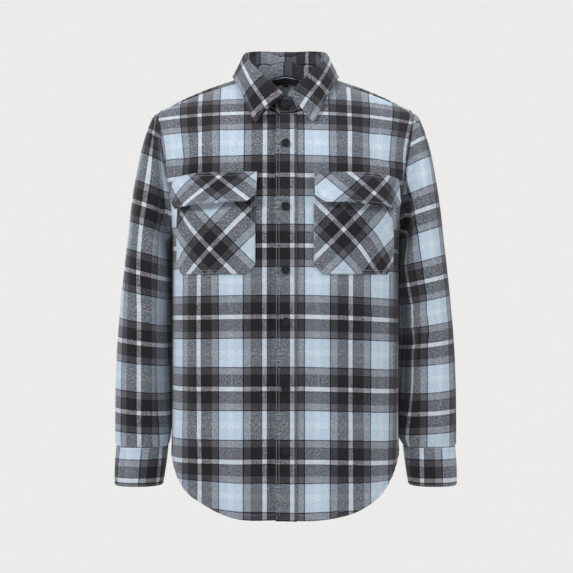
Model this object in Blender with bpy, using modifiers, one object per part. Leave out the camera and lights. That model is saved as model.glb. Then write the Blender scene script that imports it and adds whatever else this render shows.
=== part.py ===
"""Shirt jacket: a buttoned flannel overshirt, filled out as if worn, built from its cut pieces.

Metres, +Z up. The front faces -Y and the wearer's left side is +X. The origin lies between the
shoulders, at the height where the shirt rests on them beside the neck.
"""
import math

import bpy
import numpy as np
from mathutils import Vector

# ---- driving dimensions -------------------------------------------------------------------------
WALL = 0.0016            # thickness of the brushed flannel
TRIM_WALL = 0.0010       # thickness of the neck label and its tab
SEAM_GAP = 0.0005        # space left between two pieces along a seam
LAY_GAP = 0.0007         # space under a piece that lies on another one

ARMPIT_Z = -0.268        # level of the underarm point
HALF_WIDTH = 0.1945      # body, centre to side seam
SHOULDER_REACH = 0.0415  # how much wider the upper body is at the top of the shoulder
CHEST_FRONT = 0.125      # depth of the chest in front of the side seam
CHEST_BACK = 0.132       # depth of the back behind the side seam
RING_POWER = 2.8         # squareness of the body's section: 2 is an ellipse

SHOULDER_TOP_Z = 0.0184  # height of the shoulder line carried on to the centre
SHOULDER_SLOPE = 0.108   # fall of the shoulder line beside the neck
SHOULDER_ROUND = 1.0     # how quickly that fall grows towards the tip, per metre
NAPE_RISE = 0.0126       # extra height at the back of the neck
NAPE_SET = 0.040         # how far behind the side seam the nape lies
NAPE_SPREAD = 0.055      # half width over which the nape fades into the shoulders
RIDGE_SET = 0.005        # how far behind the side seam the shoulder line runs

ARMHOLE_FRONT = 0.52     # depth of the armhole's front and back edge, as shares of the chest's depth
ARMHOLE_BACK = 0.54
ARMHOLE_CORNER = 13.0    # higher is a tighter turn at the underarm
ARMHOLE_BLEND = 45.0     # degrees over the shoulder where the front's depth passes into the back's

NECK_HALF_WIDTH = 0.0735
NECK_FRONT_Y = -0.081
NECK_BACK_Y = 0.070
NECK_SPLIT = 73.0        # degrees round the neckline, from the front, to the yoke's front seam
YOKE_FRONT_TIP = -9.0    # degrees over the shoulder where that seam meets the armhole
YOKE_BACK_Z = -0.105     # level of the yoke's back seam

HEM_Z = -0.739           # level of the hem at centre front and centre back
PLACKET_LEFT = -0.0165   # free edge and seam of the button placket, across from the centre
PLACKET_RIGHT = 0.0184
FRONT_EDGE = 0.0168      # where the two fronts meet below the placket

TORSO = (  # columns: z, half width, front depth, back depth
    (ARMPIT_Z, HALF_WIDTH, CHEST_FRONT, CHEST_BACK),
    (-0.400, 0.1945, 0.123, 0.126),
    (-0.520, 0.1945, 0.120, 0.122),
    (-0.640, 0.1945, 0.119, 0.123),
    (-0.740, 0.1945, 0.118, 0.124),
)
HEM = (  # columns: share of the way from centre to side seam, rise of the hem
    (0.00, 0.0000),
    (0.26, 0.0010),
    (0.40, 0.0090),
    (0.52, 0.0230),
    (0.64, 0.0420),
    (0.73, 0.0640),
    (0.82, 0.0880),
    (1.00, 0.1150),
)
SLEEVE = (  # columns: outer x, outer z, inner x, inner z, middle y, half depth
    (0.2290, -0.0640, 0.1968, -0.2700, 0.002, 0.0690),
    (0.2385, -0.0880, 0.1972, -0.2725, 0.002, 0.0740),
    (0.2490, -0.1250, 0.1975, -0.2755, 0.001, 0.0780),
    (0.2580, -0.1730, 0.1976, -0.2800, 0.000, 0.0800),
    (0.2650, -0.2200, 0.1977, -0.2880, -0.001, 0.0800),
    (0.2710, -0.2750, 0.1978, -0.3080, -0.003, 0.0785),
    (0.2765, -0.3250, 0.1978, -0.3450, -0.006, 0.0755),
    (0.2820, -0.3800, 0.1978, -0.3920, -0.009, 0.0715),
    (0.2875, -0.4450, 0.1978, -0.4500, -0.012, 0.0660),
    (0.2905, -0.5050, 0.1978, -0.5080, -0.014, 0.0590),
    (0.2915, -0.5600, 0.1978, -0.5610, -0.016, 0.0520),
    (0.2918, -0.6020, 0.1982, -0.6020, -0.017, 0.0450),
    (0.2900, -0.6270, 0.2010, -0.6270, -0.018, 0.0370),
)
CUFF = (  # the same columns, top and bottom of the cuff
    (0.2900, -0.6275, 0.2010, -0.6275, -0.018, 0.0370),
    (0.2914, -0.6600, 0.2055, -0.6600, -0.019, 0.0365),
    (0.2925, -0.6930, 0.2100, -0.6930, -0.020, 0.0355),
)
SLEEVE_POWER = 2.3       # squareness of the sleeve's section
CUFF_EVEN = (90.0, 300.0)    # degrees along the cuff between which it runs on its middle line
CUFF_START = 222.0       # degrees round the wrist, from the inner side over the front
CUFF_OVERLAP = 36.0      # degrees by which the cuff's ends overlap
CUFF_STEP = 0.0011       # how far each end lies off the cuff's middle line

COLLAR = (  # columns: degrees from the front, stand height, height of the fold, leaf's swell
    (0.0, 0.029, -0.0360, 0.0030),
    (30.0, 0.031, -0.0020, 0.0030),
    (60.0, 0.029, 0.0270, 0.0020),
    (90.0, 0.027, 0.0455, 0.0000),
    (135.0, 0.025, 0.0590, 0.0020),
    (180.0, 0.025, 0.0620, 0.0040),
)
STAND_BASE = 0.0010      # height of the stand's lower edge over the neckline
STAND_LEAN = 0.004       # how far the stand leans in towards the neck
STAND_STEP = 0.0013      # how far each end of the stand lies off its middle line
STAND_EVEN = 45.0        # degrees from the front where the stand has come to that line
LEAF_START = 3.5         # degrees from the front where the leaf begins
LEAF_CLEAR = 0.0042      # height of the leaf's edge over the shoulder
FOLD_RADIUS = 0.0026
LEAF_SHARES = (0.3, 0.65)    # places of the leaf's rows between its fold and its edge
LEAF_EDGE = (  # columns: place along the leaf, 0 front to 1 back; x on the wearer's left and
    # right; degrees over the shoulder
    (0.00, 0.0455, 0.0510, -50.5),
    (0.22, 0.0665, 0.0690, -36.5),
    (0.42, 0.0865, 0.0865, -16.0),
    (0.55, 0.0900, 0.0900, -2.0),
    (0.70, 0.0780, 0.0780, 12.0),
    (0.85, 0.0480, 0.0480, 20.0),
    (1.00, 0.0000, 0.0000, 23.0),
)

POCKET_EDGES = {"left": (0.0462, 0.1772), "right": (0.0500, 0.1810)}  # across from the centre
POCKET_TOP, POCKET_BOTTOM = -0.1900, -0.3345
POCKET_CHAMFER = 0.0150
FLAP_IN, FLAP_OUT = 0.0475, 0.1865
FLAP_TOP, FLAP_BOTTOM = -0.1670, -0.2180
FLAP_OUT_DROP = 0.0080   # how much lower the flap is at its outer end
FLAP_FALL_TOP, FLAP_FALL_FOOT = 0.6, 0.3     # shares along it where its two edges begin to fall
FLAP_CHAMFER = 0.0110
FLAP_LIFT = 0.0060       # how far the flap's lower edge stands off
FLAP_HUG = 0.6           # how much less of that it does at its outer end
FLAP_SHARES = (1.0, 0.7, 0.45, 0.3, 0.15, 0.0)   # places of the flap's rows down it, foot first
FLAP_STEP = 0.3          # share down the flap by which it lies clear over the pocket

BUTTON_RADIUS = 0.0073
BUTTON_HEIGHT = 0.0026
BUTTON_PROFILE = (  # columns: share of the radius, share of the height, from the dish to the back
    (0.00, 0.62),
    (0.62, 0.62),
    (0.74, 1.00),
    (0.90, 1.00),
    (1.00, 0.68),
    (0.95, 0.12),
    (0.86, 0.00),
    (0.00, 0.00),
)
BUTTON_SIDES = 16
BUTTON_Z = (-0.1194, -0.2245, -0.3276, -0.4128, -0.5217, -0.6243)
COLLAR_BUTTON_SHARE = 0.56   # place of the collar button up the stand
CUFF_BUTTON_SET = 14.0       # degrees from the cuff's top end to its button

SLIT_WIDTH = 0.022
SLIT_ROWS = 3.0          # rows of the sleeve table that the slit's strip runs up
SLIT_FOOT = 0.02         # rows between its foot and the cuff's seam
SLIT_POINT = 0.4         # width of its pointed end, as a share
LABEL_WIDTH, LABEL_HEIGHT = 0.050, 0.030
TAB_WIDTH, TAB_HEIGHT = 0.010, 0.008
LABEL_DROP = 0.5         # degrees over the shoulder from the neckline down to the label
TAB_DROP = 0.3           # and from the label down to its tab

COLOURS = {  # material: colour, roughness
    "flannel": ((0.20, 0.23, 0.27), 0.95),
    "button_black": ((0.018, 0.018, 0.020), 0.55),
    "label_black": ((0.015, 0.015, 0.016), 0.80),
}


UP = np.array([0.0, 0.0, 1.0])


# ---- numbers ------------------------------------------------------------------------------------
def smooth(at, places, values):
    """Values at the places `at` on a smooth curve through a table's rows."""
    at = np.asarray(at, float)
    places = np.asarray(places, float)
    values = np.asarray(values, float)
    steps = np.diff(values) / np.diff(places)
    slopes = np.concatenate([steps[:1], (steps[1:] + steps[:-1]) / 2, steps[-1:]])
    slopes[1:-1][steps[1:] * steps[:-1] <= 0] = 0.0
    row = np.clip(np.searchsorted(places, at, side="right") - 1, 0, len(places) - 2)
    wide = places[row + 1] - places[row]
    t = np.clip((at - places[row]) / wide, 0, 1)
    start = (1 + 2 * t) * (1 - t) ** 2 * values[row] + t * (1 - t) ** 2 * wide * slopes[row]
    end = t * t * (3 - 2 * t) * values[row + 1] - t * t * (1 - t) * wide * slopes[row + 1]
    return start + end


def column(table, index):
    return [row[index] for row in table]


def evenly(points, count):
    """Shares at which a fine polyline is split into `count` equal stretches."""
    lengths = np.linalg.norm(np.diff(points, axis=0), axis=1)
    along = np.concatenate([[0], np.cumsum(lengths)])
    shares = np.linspace(0, 1, len(points))
    return np.interp(np.linspace(0, along[-1], count + 1), along, shares)


def ring_table():
    """A quarter of the body's section, of unit half width and depth, by share of its length."""
    angle = np.radians(np.linspace(0, 90, 361))
    radius = (np.sin(angle) ** RING_POWER + np.cos(angle) ** RING_POWER) ** (-1 / RING_POWER)
    across, forward = radius * np.sin(angle), radius * np.cos(angle)
    steps = np.hypot(np.diff(across) * HALF_WIDTH, np.diff(forward) * CHEST_FRONT)
    along = np.concatenate([[0], np.cumsum(steps)])
    return along / along[-1], across, forward


RING_SHARE, RING_ACROSS, RING_FORWARD = ring_table()


# ---- the body's surface -------------------------------------------------------------------------
# A place on it is a share q of the way from the centre (0) to the side seam (1 or -1), and either a
# level z below the underarm or an angle over the shoulder: -90 is the chest, 0 the shoulder line
# and 90 the back.
def across_of(q):
    return np.sign(q) * np.interp(np.abs(q), RING_SHARE, RING_ACROSS)


def forward_of(q):
    return np.interp(np.abs(q), RING_SHARE, RING_FORWARD)


def share_of(across):
    return np.sign(across) * np.interp(np.abs(across), RING_ACROSS, RING_SHARE)


def ridge_z(x):
    nape = NAPE_RISE * np.exp(-((x / NAPE_SPREAD) ** 2))
    return SHOULDER_TOP_Z - SHOULDER_SLOPE * np.abs(x) - SHOULDER_ROUND * x * x + nape


def ridge_y(x):
    return RIDGE_SET + NAPE_SET * np.exp(-((x / NAPE_SPREAD) ** 2))


def reach(over):
    """Half width of the upper body at an angle over the shoulder."""
    return HALF_WIDTH + SHOULDER_REACH * np.cos(np.radians(over))


def upper(q, over):
    """Points of the upper body."""
    q, over = np.broadcast_arrays(np.asarray(q, float), np.asarray(over, float))
    x = reach(over) * across_of(q)
    run = np.abs(np.sin(np.radians(over)))
    depth = np.where(over < 0, -CHEST_FRONT, CHEST_BACK) * forward_of(q)
    y = ridge_y(x) * (1 - run) + depth * run
    z = ARMPIT_Z + (ridge_z(x) - ARMPIT_Z) * np.cos(np.radians(over))
    return np.stack([x, y, z], -1)


def lower(q, z, behind):
    """Points of the body below the underarm."""
    q, z = np.broadcast_arrays(np.asarray(q, float), np.asarray(z, float))
    levels = column(TORSO, 0)[::-1]
    width = smooth(z, levels, column(TORSO, 1)[::-1])
    depth = smooth(z, levels, column(TORSO, 3 if behind else 2)[::-1])
    y = (1 if behind else -1) * depth * forward_of(q)
    return np.stack([width * across_of(q), y, z], -1)


def over_at(x, z):
    """Angle over the shoulder at which the upper body stands at x and z."""
    return np.degrees(np.arccos(np.clip((z - ARMPIT_Z) / (ridge_z(x) - ARMPIT_Z), 0, 1)))


def front_at(x, z):
    """Points of the front at x and z."""
    x, z = np.broadcast_arrays(np.asarray(x, float), np.asarray(z, float))
    over = -over_at(x, np.maximum(z, ARMPIT_Z))
    high = upper(share_of(x / reach(over)), over)
    low = lower(share_of(x / HALF_WIDTH), np.minimum(z, ARMPIT_Z), False)
    return np.where((z > ARMPIT_Z)[..., None], high, low)


def neckline(turn):
    """Place (q, over) of the neckline, by degrees from the front."""
    turn = np.radians(np.asarray(turn, float))
    x = NECK_HALF_WIDTH * np.sin(turn)
    y = (NECK_FRONT_Y + NECK_BACK_Y) / 2 + (NECK_FRONT_Y - NECK_BACK_Y) / 2 * np.cos(turn)
    side = np.sign(y - ridge_y(x))
    over = np.full_like(x, 20.0)
    for _ in range(12):
        q = share_of(x / reach(over))
        depth = side * np.where(side < 0, CHEST_FRONT, CHEST_BACK) * forward_of(q)
        over = np.degrees(np.arcsin(np.clip((y - ridge_y(x)) / (depth - ridge_y(x)), 0, 1)))
    return np.stack([q, side * over], -1)


def armhole(over):
    """Place (q, over) of the armhole's edge on the wearer's left, by angle over the shoulder."""
    over = np.asarray(over, float)
    edge = np.where(over < 0, ARMHOLE_FRONT, ARMHOLE_BACK)
    middle = (ARMHOLE_FRONT + ARMHOLE_BACK) / 2
    edge = middle + (edge - middle) * np.minimum(1, np.abs(over) / ARMHOLE_BLEND)
    turn = np.sqrt(np.clip(1 - (np.abs(over) / 90) ** ARMHOLE_CORNER, 0, 1))
    return np.stack([np.interp(-edge * turn, -RING_FORWARD, RING_SHARE), over], -1)


def armhole_run(start, end, count):
    """The armhole's places between two angles, evenly spaced along the edge."""
    fine = armhole(start + (end - start) * np.linspace(0, 1, 2001))
    shares = evenly(upper(fine[:, 0], fine[:, 1]), count)
    return armhole(start + (end - start) * shares)


def coons(bottom, top, left, right):
    """A patch of places between four edges, first index along the bottom."""
    u = np.linspace(0, 1, len(bottom))[:, None, None]
    v = np.linspace(0, 1, len(left))[None, :, None]
    rails = (1 - v) * bottom[:, None] + v * top[:, None] + (1 - u) * left[None] + u * right[None]
    near = (1 - v) * ((1 - u) * bottom[0] + u * bottom[-1])
    return rails - near - v * ((1 - u) * top[0] + u * top[-1])


def line(start, end, count):
    return np.linspace(start, end, count + 1)


# ---- counts of the mesh -------------------------------------------------------------------------
NECK_COLUMNS, SHOULDER_COLUMNS = 6, 5   # across a front, below the neckline and the shoulder seam
BODY_ROWS, CHEST_ROWS = 7, 8            # along the body, below and above the underarm
BACK_COLUMNS, TIP_COLUMNS = 8, 6        # across half the back, and over the shoulder's tip
NECK_SHARE = 0.34                       # share of the front's width that hangs from the neckline
POCKET_COLUMNS, POCKET_ROWS = 10, 7
PLACKET_COLUMNS, PLACKET_ROWS = 3, 23
CUFF_COLUMNS, STAND_COLUMNS, STAND_ROWS = 30, 42, 2
LEAF_COLUMNS = 15                       # along half the collar leaf
SLIT_COUNT, LABEL_COLUMNS, TAB_COLUMNS, LABEL_ROWS = 6, 4, 2, 2
SPLIT_DOT = 0.2                         # seams tighter than this keep each piece's own direction
MITRE = 0.7                             # least cosine that a mitre stretches its wall for
PLACE_STEP = 0.01                       # small steps in place and in metres that give a direction
MOVE_STEP = 0.002


def hem_z(q):
    return HEM_Z + smooth(np.abs(q), column(HEM, 0), column(HEM, 1))


def yoke_front_end():
    return armhole(YOKE_FRONT_TIP)


def yoke_back_end():
    """Angle at which the level back seam of the yoke meets the armhole."""
    over = 40.0
    for _ in range(20):
        over = float(over_at(upper(*armhole(over))[0], YOKE_BACK_Z))
    return over


def front_grid(edge):
    """Points of one front on the wearer's left, from the edge x at the centre to the side."""
    start_q = share_of(edge / HALF_WIDTH)
    neck_turn = math.degrees(math.asin(edge / NECK_HALF_WIDTH))
    neck = neckline(line(neck_turn, NECK_SPLIT, NECK_COLUMNS))
    seam = line(neck[-1], yoke_front_end(), SHOULDER_COLUMNS)
    top = np.concatenate([neck, seam[1:]])
    fall = NECK_COLUMNS / (NECK_COLUMNS + SHOULDER_COLUMNS)
    share = np.linspace(0, 1, NECK_COLUMNS + SHOULDER_COLUMNS + 1)
    q = start_q + (1 - start_q) * np.interp(share, [0, fall, 1], [0, NECK_SHARE, 1])
    bottom = np.stack([q, np.full_like(q, -90.0)], -1)
    over = line(-90.0, neck[0][1], CHEST_ROWS)
    left = np.stack([share_of(edge / reach(over)), over], -1)
    right = armhole_run(-90.0, YOKE_FRONT_TIP, CHEST_ROWS)
    place = coons(bottom, top, left, right)
    high = upper(place[..., 0], place[..., 1])
    level = np.linspace(0, 1, BODY_ROWS + 1)[None, :-1]
    low = lower(q[:, None], hem_z(q)[:, None] * (1 - level) + ARMPIT_Z * level, False)
    return np.concatenate([low, high], 1)


def back_grid():
    """Points of half the back, from the centre to the wearer's left side."""
    q = np.linspace(0, 1, BACK_COLUMNS + 1)
    bottom = np.stack([q, np.full_like(q, 90.0)], -1)
    end = yoke_back_end()
    place = line(0.0, float(armhole(end)[0]), BACK_COLUMNS)
    top = np.stack([place, level_over(place, YOKE_BACK_Z)], -1)
    over = line(90.0, top[0][1], CHEST_ROWS)
    left = np.stack([np.zeros_like(over), over], -1)
    right = armhole_run(90.0, end, CHEST_ROWS)
    patch = coons(bottom, top, left, right)
    high = upper(patch[..., 0], patch[..., 1])
    level = np.linspace(0, 1, BODY_ROWS + 1)[None, :-1]
    low = lower(q[:, None], hem_z(q)[:, None] * (1 - level) + ARMPIT_Z * level, True)
    return np.concatenate([low, high], 1)


def level_over(q, z):
    """Angles at which a level line crosses the back at shares q."""
    over = np.full_like(q, 45.0)
    for _ in range(20):
        over = over_at(reach(over) * across_of(q), z)
    return over


def yoke_grid():
    """Points of half the yoke, from the neck outwards, and from the front seam to the centre back."""
    end = yoke_back_end()
    tip = armhole_run(YOKE_FRONT_TIP, end, TIP_COLUMNS)
    place = line(float(armhole(end)[0]), 0.0, BACK_COLUMNS)
    seam = np.stack([place, level_over(place, YOKE_BACK_Z)], -1)
    outer = np.concatenate([tip, seam[1:]])
    neck = neckline(NECK_SPLIT + (180 - NECK_SPLIT) * np.linspace(0, 1, len(outer)))
    first = line(neck[0], outer[0], SHOULDER_COLUMNS)
    last = line(neck[-1], outer[-1], SHOULDER_COLUMNS)
    place = coons(first, last, neck, outer)
    return upper(place[..., 0], place[..., 1])


# ---- sleeves and cuffs --------------------------------------------------------------------------
def tube_point(row, angle, offset=0.0):
    """Points of a sleeve's section: 0 is its inner side, 90 its front and 180 its outer side."""
    outer = np.array([row[0], row[4], row[1]])
    inner = np.array([row[2], row[4], row[3]])
    angle = np.radians(np.asarray(angle, float))
    side = -np.sign(np.cos(angle)) * np.abs(np.cos(angle)) ** (2 / SLEEVE_POWER)
    depth = np.sign(np.sin(angle)) * np.abs(np.sin(angle)) ** (2 / SLEEVE_POWER)
    reach_out = (outer - inner) / 2
    wide = np.linalg.norm(reach_out)
    middle = (outer + inner) / 2
    across = reach_out * (1 + offset / wide)
    forward = np.array([0.0, -(row[5] + offset), 0.0])
    return middle + side[..., None] * across + depth[..., None] * forward


def armhole_ring():
    """The armhole's points, from the underarm up the front, over the yoke and down the back."""
    end = yoke_back_end()
    front = armhole_run(-90.0, YOKE_FRONT_TIP, CHEST_ROWS)
    tip = armhole_run(YOKE_FRONT_TIP, end, TIP_COLUMNS)
    back = armhole_run(90.0, end, CHEST_ROWS)[::-1]
    place = np.concatenate([front, tip[1:], back[1:-1]])
    return upper(place[:, 0], place[:, 1])


def sleeve_grid():
    """Points of the sleeve on the wearer's left: rings from the armhole to the cuff."""
    first = armhole_ring()
    closed = np.concatenate([first, first[:1]])
    along = np.concatenate([[0], np.cumsum(np.linalg.norm(np.diff(closed, axis=0), axis=1))])
    tip = along[np.argmax(first[:, 2])]
    angle = np.interp(along[:-1], [0, tip, along[-1]], [0, 180, 360])
    return np.stack([first] + [tube_point(row, angle) for row in SLEEVE], 1)


def cuff_grid():
    """Points of the cuff: a band whose ends overlap behind the wrist."""
    turn = line(0, 360 + CUFF_OVERLAP, CUFF_COLUMNS)
    places = [0, CUFF_OVERLAP, *CUFF_EVEN, 360, 360 + CUFF_OVERLAP]
    ease = smooth(turn, places, [-1, -1, 0, 0, 1, 1])
    rows = []
    for row in CUFF:
        ring = [tube_point(row, CUFF_START + t, CUFF_STEP * e) for t, e in zip(turn, ease)]
        rows.append(np.stack(ring))
    return np.stack(rows, 1)


# ---- collar -------------------------------------------------------------------------------------
def folded(turn):
    """Degrees from the front, 0 to 180, whichever way round."""
    turn = np.abs(np.asarray(turn, float)) % 360
    return np.minimum(turn, 360 - turn)


def stand_point(turn, share, step):
    """Points of the stand's outer side, by degrees from the front, share of its height and layer."""
    height = smooth(folded(turn), column(COLLAR, 0), column(COLLAR, 1))
    rise = STAND_BASE + (height - STAND_BASE) * share
    lean = STAND_STEP * step - STAND_LEAN * share + 0 * height
    return neck_ring(turn) + rise[:, None] * UP + lean[:, None] * neck_out(turn)


def stand_grid():
    """Points of the collar stand: a band from its button end round the nape to its top end."""
    end = math.degrees(math.asin(-PLACKET_LEFT / NECK_HALF_WIDTH))
    turn = line(end, -360 - end, STAND_COLUMNS)
    places = [-end, end, STAND_EVEN, 360 - STAND_EVEN, 360 - end, 360 + end]
    ease = smooth(-turn, places, [-1, -1, 0, 0, 1, 1])
    around = (turn + 180) % 360 - 180
    return np.stack([stand_point(around, share, ease) for share in line(0, 1, STAND_ROWS)], 1)


def neck_ring(turn):
    """Neckline points all round: negative degrees are the wearer's right."""
    place = neckline(np.abs(turn))
    points = upper(place[:, 0], place[:, 1])
    points[:, 0] *= np.where(np.asarray(turn) < 0, -1, 1)
    return points


def neck_out(turn):
    """Directions away from the neck, level, at places of the neckline."""
    angle = np.radians(turn)
    out = np.stack([np.sin(angle) / NECK_HALF_WIDTH,
                    -2 * np.cos(angle) / (NECK_BACK_Y - NECK_FRONT_Y), 0 * angle], -1)
    return out / np.linalg.norm(out, axis=1)[:, None]


def leaf_grid():
    """Points of the collar leaf's upper side, from the stand over the fold to the free edge."""
    turn = line(LEAF_START, 180, LEAF_COLUMNS)
    turn = np.concatenate([turn, -turn[-2::-1]])
    half = folded(turn)
    side = np.where(turn < 0, -1.0, 1.0)
    along = (half - LEAF_START) / (180 - LEAF_START)
    out = neck_out(turn)
    joint = stand_point(turn, 1.0, 0.0) + UP * SEAM_GAP - out * WALL
    top = joint.copy()
    top[:, 2] = smooth(half, column(COLLAR, 0), column(COLLAR, 2))
    x = np.where(side > 0, smooth(along, column(LEAF_EDGE, 0), column(LEAF_EDGE, 1)),
                 smooth(along, column(LEAF_EDGE, 0), column(LEAF_EDGE, 2)))
    over = smooth(along, column(LEAF_EDGE, 0), column(LEAF_EDGE, 3))
    swell = smooth(half, column(COLLAR, 0), column(COLLAR, 3))[:, None]
    q = share_of(x / reach(over))
    edge = upper(q, over)
    normal = np.cross(upper(q + PLACE_STEP, over) - edge, upper(q, over + 1) - edge)
    normal /= np.linalg.norm(normal, axis=1)[:, None]
    edge = edge + normal * (LEAF_CLEAR + WALL)
    edge[:, 0] *= side
    normal[:, 0] *= side
    low_fold = top - UP * FOLD_RADIUS
    outer_fold = top + out * 2 * FOLD_RADIUS - UP * FOLD_RADIUS
    crest = top + out * FOLD_RADIUS
    rows = [joint, (joint + low_fold) / 2, low_fold, crest, outer_fold]
    for share in LEAF_SHARES:
        lift = (out + UP) / math.sqrt(2) * swell * math.sin(math.pi * share)
        rows.append(outer_fold + (edge - outer_fold) * share + lift)
    return np.stack(rows + [edge], 1)


# ---- meshes -------------------------------------------------------------------------------------
def own_normals(grid, closed):
    """Outward directions at a grid's points, from its own faces."""
    found = np.zeros_like(grid)
    for quad in grid_faces(grid.shape[0], grid.shape[1], closed):
        a, b, c, d = (grid[place] for place in quad)
        for place in quad:
            found[place] += np.cross(c - a, d - b)
    return found / np.linalg.norm(found, axis=-1)[..., None]


def shared_normals(grids):
    """The same, but alike where two pieces meet, unless the seam between them is a tight crease."""
    own = {name: own_normals(grid, closed) for name, (grid, closed) in grids.items()}
    total = {}
    for name, (grid, _) in grids.items():
        for place in np.ndindex(grid.shape[:2]):
            key = tuple(np.round(grid[place], 5))
            total[key] = total.get(key, 0) + own[name][place]
    for name, (grid, _) in grids.items():
        for place in np.ndindex(grid.shape[:2]):
            joint = total[tuple(np.round(grid[place], 5))]
            joint = joint / max(np.linalg.norm(joint), 1e-9)
            if joint @ own[name][place] > SPLIT_DOT:
                own[name][place] = joint / max(joint @ own[name][place], MITRE)
    return own


def grid_faces(across, along, closed):
    """Corner places of a grid's faces, seen from outside."""
    for i in range(across if closed else across - 1):
        k = (i + 1) % across
        for j in range(along - 1):
            yield (i, j), (k, j), (k, j + 1), (i, j + 1)


def pulled_in(grid, closed):
    """The grid with its outline drawn in by half a seam gap."""
    found = grid.copy()
    pairs = [(np.s_[:, 0], np.s_[:, 1]), (np.s_[:, -1], np.s_[:, -2])]
    if not closed:
        pairs += [(np.s_[0], np.s_[1]), (np.s_[-1], np.s_[-2])]
    for edge, inner in pairs:
        step = grid[inner] - grid[edge]
        found[edge] += SEAM_GAP / 2 * step / np.linalg.norm(step, axis=-1)[..., None]
    return found


def walled(name, grid, normals, closed, thickness):
    """A cloth wall on a grid, mitred at its edges by the directions it shares with its neighbours."""
    outer = pulled_in(grid, closed)
    inner = outer - normals * thickness
    across, along = grid.shape[:2]
    points = np.concatenate([outer.reshape(-1, 3), inner.reshape(-1, 3)])
    half = across * along

    def at(place, layer):
        return layer * half + place[0] * along + place[1]

    faces = []
    for quad in grid_faces(across, along, closed):
        faces.append([at(place, 0) for place in quad])
        faces.append([at(place, 1) for place in reversed(quad)])
    head = [(i, 0) for i in range(across)]
    foot = [(i, along - 1) for i in range(across - 1, -1, -1)]
    rims = [head, foot]
    if not closed:
        up_side = [(across - 1, j) for j in range(1, along - 1)]
        down_side = [(0, j) for j in range(along - 2, 0, -1)]
        rims = [head + up_side + foot + down_side]
    for rim in rims:
        for here, there in zip(rim, rim[1:] + rim[:1]):
            faces.append([at(there, 0), at(here, 0), at(here, 1), at(there, 1)])
    mesh = bpy.data.meshes.new(name)
    mesh.from_pydata(points.tolist(), [], faces)
    return shown(name, mesh)


def laid(name, grid, thickness, finish="flannel"):
    """A piece laid on another: an open sheet with Solidify, its grid being the side below."""
    across, along = grid.shape[:2]
    faces = [[i * along + j for i, j in quad] for quad in grid_faces(across, along, False)]
    mesh = bpy.data.meshes.new(name)
    mesh.from_pydata(grid.reshape(-1, 3).tolist(), [], faces)
    piece = shown(name, mesh, finish)
    solidify = piece.modifiers.new("wall", "SOLIDIFY")
    solidify.thickness = thickness
    solidify.offset = 1.0
    return piece


def shown(name, mesh, finish="flannel"):
    """An object for a mesh, smooth, in the shirt's collection, with its material."""
    mesh.shade_smooth()
    mesh.materials.append(material(finish))
    piece = bpy.data.objects.new(name, mesh)
    bpy.data.collections["shirt_jacket"].objects.link(piece)
    return piece


def material(name):
    found = bpy.data.materials.get(name)
    if found is None:
        colour, roughness = COLOURS[name]
        found = bpy.data.materials.new(name)
        found.use_nodes = True
        shader = found.node_tree.nodes["Principled BSDF"]
        shader.inputs["Base Color"].default_value = (*colour, 1.0)
        shader.inputs["Roughness"].default_value = roughness
        shader.inputs["Metallic"].default_value = 0.0
    return found


def mirrored(grid):
    """The same grid on the wearer's right, its order turned so that it still faces out."""
    return (grid * np.array([-1.0, 1.0, 1.0]))[::-1]


def moved_out(surface, a, b, offset):
    """Points of a surface at a and b, moved out along its normal, and those normals."""
    point = surface(a, b)
    normal = np.cross(surface(a + MOVE_STEP, b) - surface(a - MOVE_STEP, b),
                      surface(a, b + MOVE_STEP) - surface(a, b - MOVE_STEP))
    normal /= np.linalg.norm(normal, axis=-1)[..., None]
    return point + normal * np.asarray(offset)[..., None], normal


# ---- the pieces ---------------------------------------------------------------------------------
def body_pieces():
    """Fronts, back, yoke and sleeves, whose walls share their directions at the seams."""
    half_back = back_grid()
    half_yoke = yoke_grid()
    sleeve = sleeve_grid()
    grids = {
        "front_left": (front_grid(FRONT_EDGE), False),
        "front_right": (mirrored(front_grid(-FRONT_EDGE)), False),
        "back": (np.concatenate([half_back[:0:-1], mirrored(half_back)[::-1]]), False),
        "yoke": (np.concatenate([half_yoke, mirrored(half_yoke)[::-1][:, ::-1][:, 1:]], 1), False),
        "sleeve_left": (sleeve[::-1], True),
        "sleeve_right": (mirrored(sleeve[::-1]), True),
    }
    normals = shared_normals(grids)
    for name, (grid, closed) in grids.items():
        walled(name, grid, normals[name], closed, WALL)


def placket():
    x = line(PLACKET_LEFT, PLACKET_RIGHT, PLACKET_COLUMNS)[:, None]
    top = upper(*neckline([0.0])[0])[2] - SEAM_GAP
    z = line(HEM_Z - LAY_GAP, top, PLACKET_ROWS)[None]
    x, z = np.broadcast_arrays(x, z)
    laid("front_placket", moved_out(front_at, x, z, np.full(x.shape, LAY_GAP))[0], WALL)


def patch_x(inner, outer):
    """Places across a front between two edges, evenly spaced along the cloth, and the spacing."""
    q = line(share_of(inner / HALF_WIDTH), share_of(outer / HALF_WIDTH), POCKET_COLUMNS)
    return (HALF_WIDTH * across_of(q))[:, None], line(0, 1, POCKET_COLUMNS)[:, None]


def fallen(share, start):
    """How far an edge that is level as far as `start` has fallen at a share of its length."""
    return np.clip(share - start, 0, 1) / (1 - start)


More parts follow.
